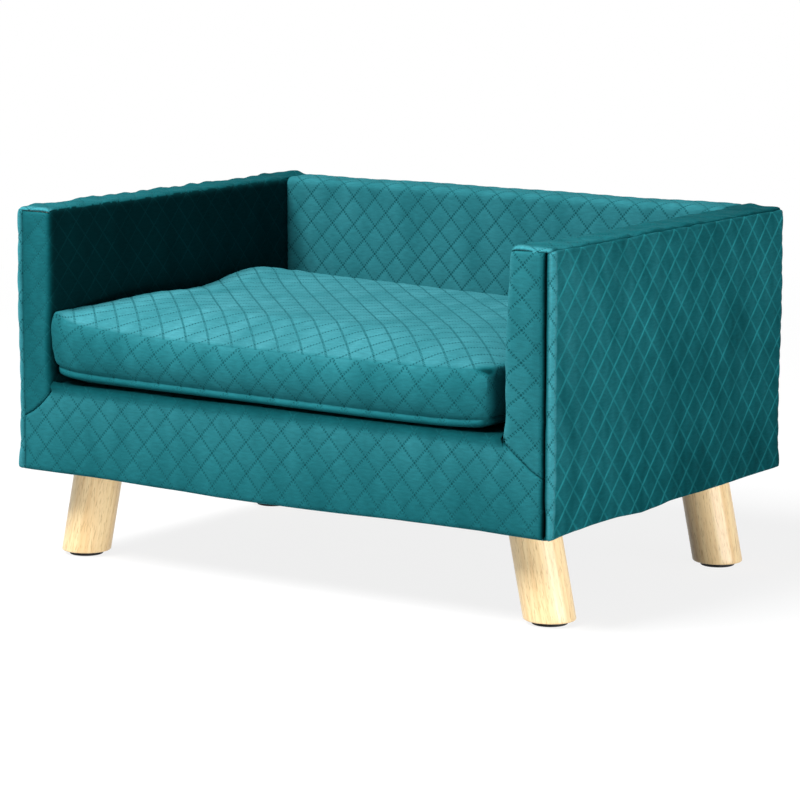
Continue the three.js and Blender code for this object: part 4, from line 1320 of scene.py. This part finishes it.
def woven_tape():
    """Polyester zip tape: a flat satin weave with fine ribs along its length."""
    material, tree, shader = new_finish("woven_zip_tape", 0.65, 0.4)
    parts = add_node(tree, "ShaderNodeSeparateXYZ", {0: object_place(tree)})
    count = computed(tree, "MULTIPLY", parts.outputs["Z"], 1 / zip_rib_spacing)
    rib = computed(tree, "PINGPONG", count, 0.5)
    colour = blended(tree, rib, zip_tape_dark_colour, zip_tape_colour)
    finish_with(tree, shader, colour, rib, 0.0003)
    return material


def coil_tree(sizes, material):
    """Two rows of coil loops along a path, one row half a pitch on, leaning towards each other."""
    tree, start, end = new_geometry_tree("coil_loops", sizes)
    spots = spots_along(tree, start)
    both = add_node(tree, "GeometryNodeJoinGeometry")
    for side in (-1, 1):
        quarter_pitch = computed(tree, "MULTIPLY", start.outputs["Pitch"], side / 4)
        rise = computed(tree, "MULTIPLY", start.outputs["Reach"], side / 4)
        shift = add_node(tree, "ShaderNodeCombineXYZ", {"X": quarter_pitch, "Z": rise})
        moved = add_node(tree, "GeometryNodeSetPosition",
                         {"Geometry": spots["Points"], "Offset": shift.outputs[0]})
        loop = add_node(tree, "GeometryNodeMeshCylinder",
                        {"Vertices": 6, "Radius": start.outputs["Wire"],
                         "Depth": start.outputs["Reach"]})
        row = add_node(tree, "GeometryNodeInstanceOnPoints",
                       {"Points": moved.outputs[0], "Instance": loop.outputs["Mesh"],
                        "Rotation": (0, math.radians(side * 14), 0)})
        tree.links.new(row.outputs[0], both.inputs[0])
    end_with(tree, end, both.outputs[0], material)
    return tree


tape_finish = woven_tape()
tape_shape = bmesh.new()
bmesh.ops.create_grid(tape_shape, x_segments=120, y_segments=6, size=0.5)
for vert in tape_shape.verts:
    bow = 0.0002 * math.cos(math.pi * vert.co.y)
    vert.co = ((zip_low.x + zip_high.x) / 2 + vert.co.x * (zip_high.x - zip_low.x + 2 * tape_hem),
               tape_front_y + bow, zip_z - vert.co.y * (zip_high.z - zip_low.z + 2 * tape_hem))
tape_mesh = bpy.data.meshes.new("zip_tape")
tape_shape.to_mesh(tape_mesh)
tape_shape.free()
tape = shown("zip_tape", tape_mesh, tape_finish)
give_thickness(tape, tape_thickness)
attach(tape, "cushion")
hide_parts("cushion_zip")

coil_line = bpy.data.meshes.new("coil_line")
coil_y = tape_front_y + 0.0008
coil_ends = [(zip_low.x + coil_end_room, coil_y, zip_z), (zip_high.x - coil_end_room, coil_y, zip_z)]
coil_line.from_pydata(coil_ends, [(0, 1)], [])
coil_sizes = {"Pitch": coil_pitch, "Reach": coil_reach, "Wire": coil_wire / 2}
coil = grown("zip_coil", coil_line, coil_tree(coil_sizes, tape_finish), coil_sizes, tape_finish)
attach(coil, "cushion")

for node, name in (("zip_slider", "zip_runner"), ("zip_pull", "zip_pull_tab")):
    piece = softened_copy(node, name, bright_zinc, 0.0003)
    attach(piece, node)
    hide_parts(node)


# Legs
# Turned round, then sawn level at both ends so that each leg splays outwards. Pale rubberwood
# with a clear lacquer: straight open pores that show as short brown dashes along the grain.

leg_light_colour = "#F2D8A6"
leg_warm_colour = "#DFBA84"
leg_pore_colour = "#A87F4C"
leg_round_sides = 96
leg_splay = math.radians(12)
leg_radius = 0.025
leg_end_round = 0.0015
leg_top_round = 0.0006
washer_room_edge = 0.0003
washer_thickness = 0.0016
washer_room_radius = 0.0113
bolt_room_radius = 0.0043
bolt_wood_length = 0.030
leg_foot_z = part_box("leg_front_right")[0].z
leg_top_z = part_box("leg_front_right")[1].z


def lacquered_rubberwood():
    """Rubberwood: cream to honey brown, short dark pores along the grain, and a satin lacquer."""
    material, tree, shader = new_finish("lacquered_rubberwood", 0.42)
    shader.inputs["Coat Weight"].default_value = 0.25
    shader.inputs["Coat Roughness"].default_value = 0.25
    place = add_node(tree, "ShaderNodeAttribute", attribute_name="grain_place").outputs["Vector"]
    bands = grain_over(tree, place, 1, 4, (230, 230, 8), distortion=0.4)
    wood = blended(tree, graded(tree, bands, 0.34, 0.7), leg_light_colour, leg_warm_colour)
    pores = graded(tree, grain_over(tree, place, 1, 2, (900, 900, 110)), 0.54, 0.7)
    pored = blended(tree, computed(tree, "MULTIPLY", pores, 0.55), wood, leg_pore_colour)
    finish_with(tree, shader, pored, computed(tree, "MULTIPLY", pores, -1), 0.0002, 0.4)
    return material


def turned_mesh(name, profile, sides):
    """A piece turned about Z from (radius, height) points that start and end on the axis."""
    shape = bmesh.new()
    rings = []
    for radius, height in profile:
        if radius == 0:
            rings.append([shape.verts.new((0, 0, height))] * sides)
        else:
            rings.append([shape.verts.new((radius * math.cos(2 * math.pi * turn / sides),
                                           radius * math.sin(2 * math.pi * turn / sides), height))
                          for turn in range(sides)])
    for below, above in zip(rings, rings[1:]):
        for turn in range(sides):
            after = (turn + 1) % sides
            corners = [below[turn], below[after], above[after], above[turn]]
            shape.faces.new(list(dict.fromkeys(corners)))
    bmesh.ops.recalc_face_normals(shape, faces=shape.faces)
    mesh = bpy.data.meshes.new(name)
    shape.to_mesh(mesh)
    shape.free()
    return mesh


def rounded_corner(radius, height, turn_from, size, steps=4):
    """Points of a quarter round between two straight runs of a profile."""
    turns = [turn_from + math.pi / 2 * step / steps for step in range(steps + 1)]
    return [(radius + size * math.cos(turn), height + size * math.sin(turn)) for turn in turns]


def leg_mesh(corner, order):
    height = leg_top_z - leg_foot_z
    side = math.copysign(1, bolt_axis[corner].x)
    profile = [
        (0, -height), (leg_radius * 0.6, -height),
        *rounded_corner(leg_radius - leg_end_round, -height + leg_end_round, -math.pi / 2,
                        leg_end_round),
        *[(leg_radius, -height * (1 - share)) for share in (0.1, 0.3, 0.5, 0.7, 0.9)],
        *rounded_corner(leg_radius - leg_top_round, -leg_top_round, 0, leg_top_round),
        (washer_room_radius + washer_room_edge, 0), (washer_room_radius, -washer_room_edge),
        (washer_room_radius, -washer_thickness - gap), (bolt_room_radius, -washer_thickness - gap),
        (bolt_room_radius, -bolt_wood_length), (0, -bolt_wood_length),
    ]
    mesh = turned_mesh("lacquered_leg_" + corner, profile, leg_round_sides)
    points = points_of(mesh)
    outer = np.hypot(points[:, 0], points[:, 1]) > washer_room_radius + 0.0002
    grain = points + [0.3 * order, 0.17 * order, 0.4 * order]
    mesh.attributes.new("grain_place", "FLOAT_VECTOR", "POINT").data.foreach_set(
        "vector", grain.astype(np.float32).ravel())
    points[outer, 0] /= math.cos(leg_splay)
    points[outer, 0] -= points[outer, 2] * math.tan(leg_splay)
    points[:, 0] *= side
    points += [bolt_axis[corner].x, bolt_axis[corner].y, leg_top_z]
    move_points(mesh, points)
    if side < 0:
        mesh.flip_normals()
    return mesh


rubberwood = lacquered_rubberwood()
for order, corner in enumerate(corner_names):
    leg = shown("lacquered_leg_" + corner, leg_mesh(corner, order), rubberwood)
    leg.data.set_sharp_from_angle(angle=math.radians(40))
    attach(leg, "leg_" + corner)
    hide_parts("leg_" + corner)


# Hanger bolts and washers
# A zinc-plated bolt in the top of each leg, with a rolled thread that turns into the tee nut, and
# a flat washer under the frame. They show once a leg is screwed out.

thread_pitch = 0.00125
thread_depth = 0.0007
bolt_radius = 0.004
bolt_low_z, bolt_high_z = (corner.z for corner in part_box("hanger_bolt_front_right"))
bolt_point_length = 0.006


def threaded_bolt(name, axis):
    """A rod whose wall rises and falls once each pitch along a helix."""
    sides, rows_a_turn = 20, 6
    rows = round((bolt_high_z - bolt_low_z) / thread_pitch * rows_a_turn)
    height = np.linspace(bolt_low_z, bolt_high_z, rows + 1)
    turn = np.arange(sides) / sides
    z, share = np.meshgrid(height, turn, indexing="ij")
    phase = (z / thread_pitch - share) % 1
    radius = bolt_radius - thread_depth * np.clip(np.abs(phase * 2 - 1) * 1.3 - 0.15, 0, 1)
    heights = [bolt_low_z, bolt_low_z + bolt_point_length, bolt_high_z - 0.001, bolt_high_z]
    radius *= np.interp(z, heights, [0.15, 1, 1, 0.75])
    points = np.stack([axis.x + radius * np.cos(2 * math.pi * share),
                       axis.y + radius * np.sin(2 * math.pi * share), z], -1).reshape(-1, 3)
    number = np.arange(len(points)).reshape(z.shape)
    after = np.roll(number, -1, 1)
    faces = np.stack([number[:-1], after[:-1], after[1:], number[1:]], -1).reshape(-1, 4).tolist()
    faces += [number[0][::-1].tolist(), number[-1].tolist()]
    mesh = bpy.data.meshes.new(name)
    mesh.from_pydata(points.tolist(), [], faces)
    return mesh


for corner in corner_names:
    name = "threaded_bolt_" + corner
    bolt = shown(name, threaded_bolt(name, bolt_axis[corner]), bright_zinc)
    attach(bolt, "leg_" + corner)
    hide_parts("hanger_bolt_" + corner)
    washer = softened_copy("leg_washer_" + corner, "pressed_washer_" + corner, bright_zinc, 0.00025)
    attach(washer, "washer_" + corner)
    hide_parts("leg_washer_" + corner)


# Glides
# A black nylon disc nailed under each leg, so that it slides and doesn't mark the floor. Moulded,
# with a soft edge, fine scratches, and a countersunk well round the nail's head.

glide_colour = "#080808"
glide_scuff_colour = "#191919"
glide_radius = 0.0175
glide_thickness = 0.004
glide_edge = 0.0012
glide_well_radius = 0.004
glide_well_depth = 0.001
nail_radius = 0.0013


def moulded_nylon():
    """Black nylon: a dull moulded skin, scuffed grey where it slides."""
    material, tree, shader = new_finish("moulded_black_nylon", 0.6, 0.25)
    scuffs = grain_over(tree, object_place(tree), 1, 3, (1500, 90, 90))
    colour = blended(tree, graded(tree, scuffs, 0.55, 0.75), glide_colour, glide_scuff_colour)
    finish_with(tree, shader, colour, scuffs, 0.0001, 0.3)
    return material


nylon = moulded_nylon()
for corner in corner_names:
    glide_low, glide_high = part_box("glide_" + corner)
    profile = [
        (0, glide_well_depth), (glide_well_radius * 0.7, glide_well_depth), (glide_well_radius, 0),
        *rounded_corner(glide_radius - glide_edge, glide_edge, -math.pi / 2, glide_edge),
        (glide_radius, glide_thickness - 0.0004), (glide_radius - 0.0004, glide_thickness),
        (nail_radius, glide_thickness), (nail_radius, glide_high.z - 0.003), (0, glide_high.z),
    ]
    mesh = turned_mesh("nylon_glide_" + corner, profile, 64)
    middle = (glide_low + glide_high) / 2
    mesh.transform(Matrix.Translation((middle.x, middle.y, 0)))
    glide = shown("nylon_glide_" + corner, mesh, nylon)
    mesh.set_sharp_from_angle(angle=math.radians(50))
    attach(glide, "leg_" + corner)
    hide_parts("glide_" + corner)


# Studio
# A pale floor and white surroundings, one large soft lamp in front on the left and above, and a
# weak low one on the right. The camera stands in front, to the right, a little above the sofa.

floor_colour = "#F4F4F4"
floor_bounce_colour = "#BEBEBE"
camera_target = Vector((0.0006, -0.0013, 0.166))
camera_azimuth = math.radians(34.26)
camera_elevation = math.radians(9.31)
camera_roll = math.radians(0.14)
camera_distance = 3.494
camera_lens = 153.5


def seen_directly(tree):
    """1 for rays that come straight from the camera, or by glass or metal, and 0 for light."""
    rays = add_node(tree, "ShaderNodeLightPath").outputs
    mirrored = computed(tree, "MAXIMUM", rays["Is Glossy Ray"], rays["Is Transmission Ray"])
    return computed(tree, "MAXIMUM", rays["Is Camera Ray"], mirrored)


def studio_floor():
    """White paper. It shows lighter than the light that it throws back, and whiter far off."""
    material, tree, shader = new_finish("white_paper_floor", 0.9, 0.1)
    seen = seen_directly(tree)
    finish_with(tree, shader, blended(tree, seen, floor_bounce_colour, floor_colour))
    white = add_node(tree, "ShaderNodeEmission", {"Color": linear("#FFFFFF"), "Strength": 1})
    fade = graded(tree, computed_vector(tree, "LENGTH", object_place(tree)), 0.6, 2.5, 0.85, 1)
    share = computed(tree, "MULTIPLY", seen, fade)
    inputs = {0: share, 1: shader.outputs[0], 2: white.outputs[0]}
    blend = add_node(tree, "ShaderNodeMixShader", inputs)
    tree.links.new(blend.outputs[0], tree.nodes["Material Output"].inputs["Surface"])
    shape = bmesh.new()
    bmesh.ops.create_grid(shape, x_segments=8, y_segments=8, size=12)
    mesh = bpy.data.meshes.new("paper_floor")
    shape.to_mesh(mesh)
    shape.free()
    shown("paper_floor", mesh, material)


def soft_lamp(name, place, aim, size, power):
    lamp = bpy.data.lights.new(name, "AREA")
    lamp.shape = "RECTANGLE"
    lamp.size, lamp.size_y = size
    lamp.energy = power
    holder = bpy.data.objects.new(name, lamp)
    holder.location = place
    holder.rotation_euler = (Vector(aim) - Vector(place)).to_track_quat("-Z", "Y").to_euler()
    bpy.context.scene.collection.objects.link(holder)


studio_floor()
soft_lamp("key_lamp", (-0.9, -2.1, 3.3), (0, 0, 0.2), (1.8, 1.8), 330)
soft_lamp("low_side_lamp", (3.0, -0.6, 0.2), (0, 0, 0.2), (2.6, 0.36), 76)

world = bpy.data.worlds.new("white_studio")
world.use_nodes = True
sky = world.node_tree
level = graded(sky, seen_directly(sky), 0, 1, 0.12, 1)
sky.links.new(level, sky.nodes["Background"].inputs["Strength"])
sky.nodes["Background"].inputs["Color"].default_value = linear("#FFFFFF")
bpy.context.scene.world = world
bpy.context.scene.view_settings.view_transform = "Standard"

camera = bpy.data.objects.new("camera", bpy.data.cameras.new("camera"))
back = Vector((math.sin(camera_azimuth) * math.cos(camera_elevation),
               -math.cos(camera_azimuth) * math.cos(camera_elevation), math.sin(camera_elevation)))
camera.location = camera_target + back * camera_distance
camera.rotation_mode = "QUATERNION"
level_view = (-back).to_track_quat("-Z", "Y")
camera.rotation_quaternion = level_view @ Matrix.Rotation(camera_roll, 3, "Z").to_quaternion()
camera.data.lens = camera_lens
camera.data.sensor_width = 36
bpy.context.scene.collection.objects.link(camera)
bpy.context.scene.camera = camera
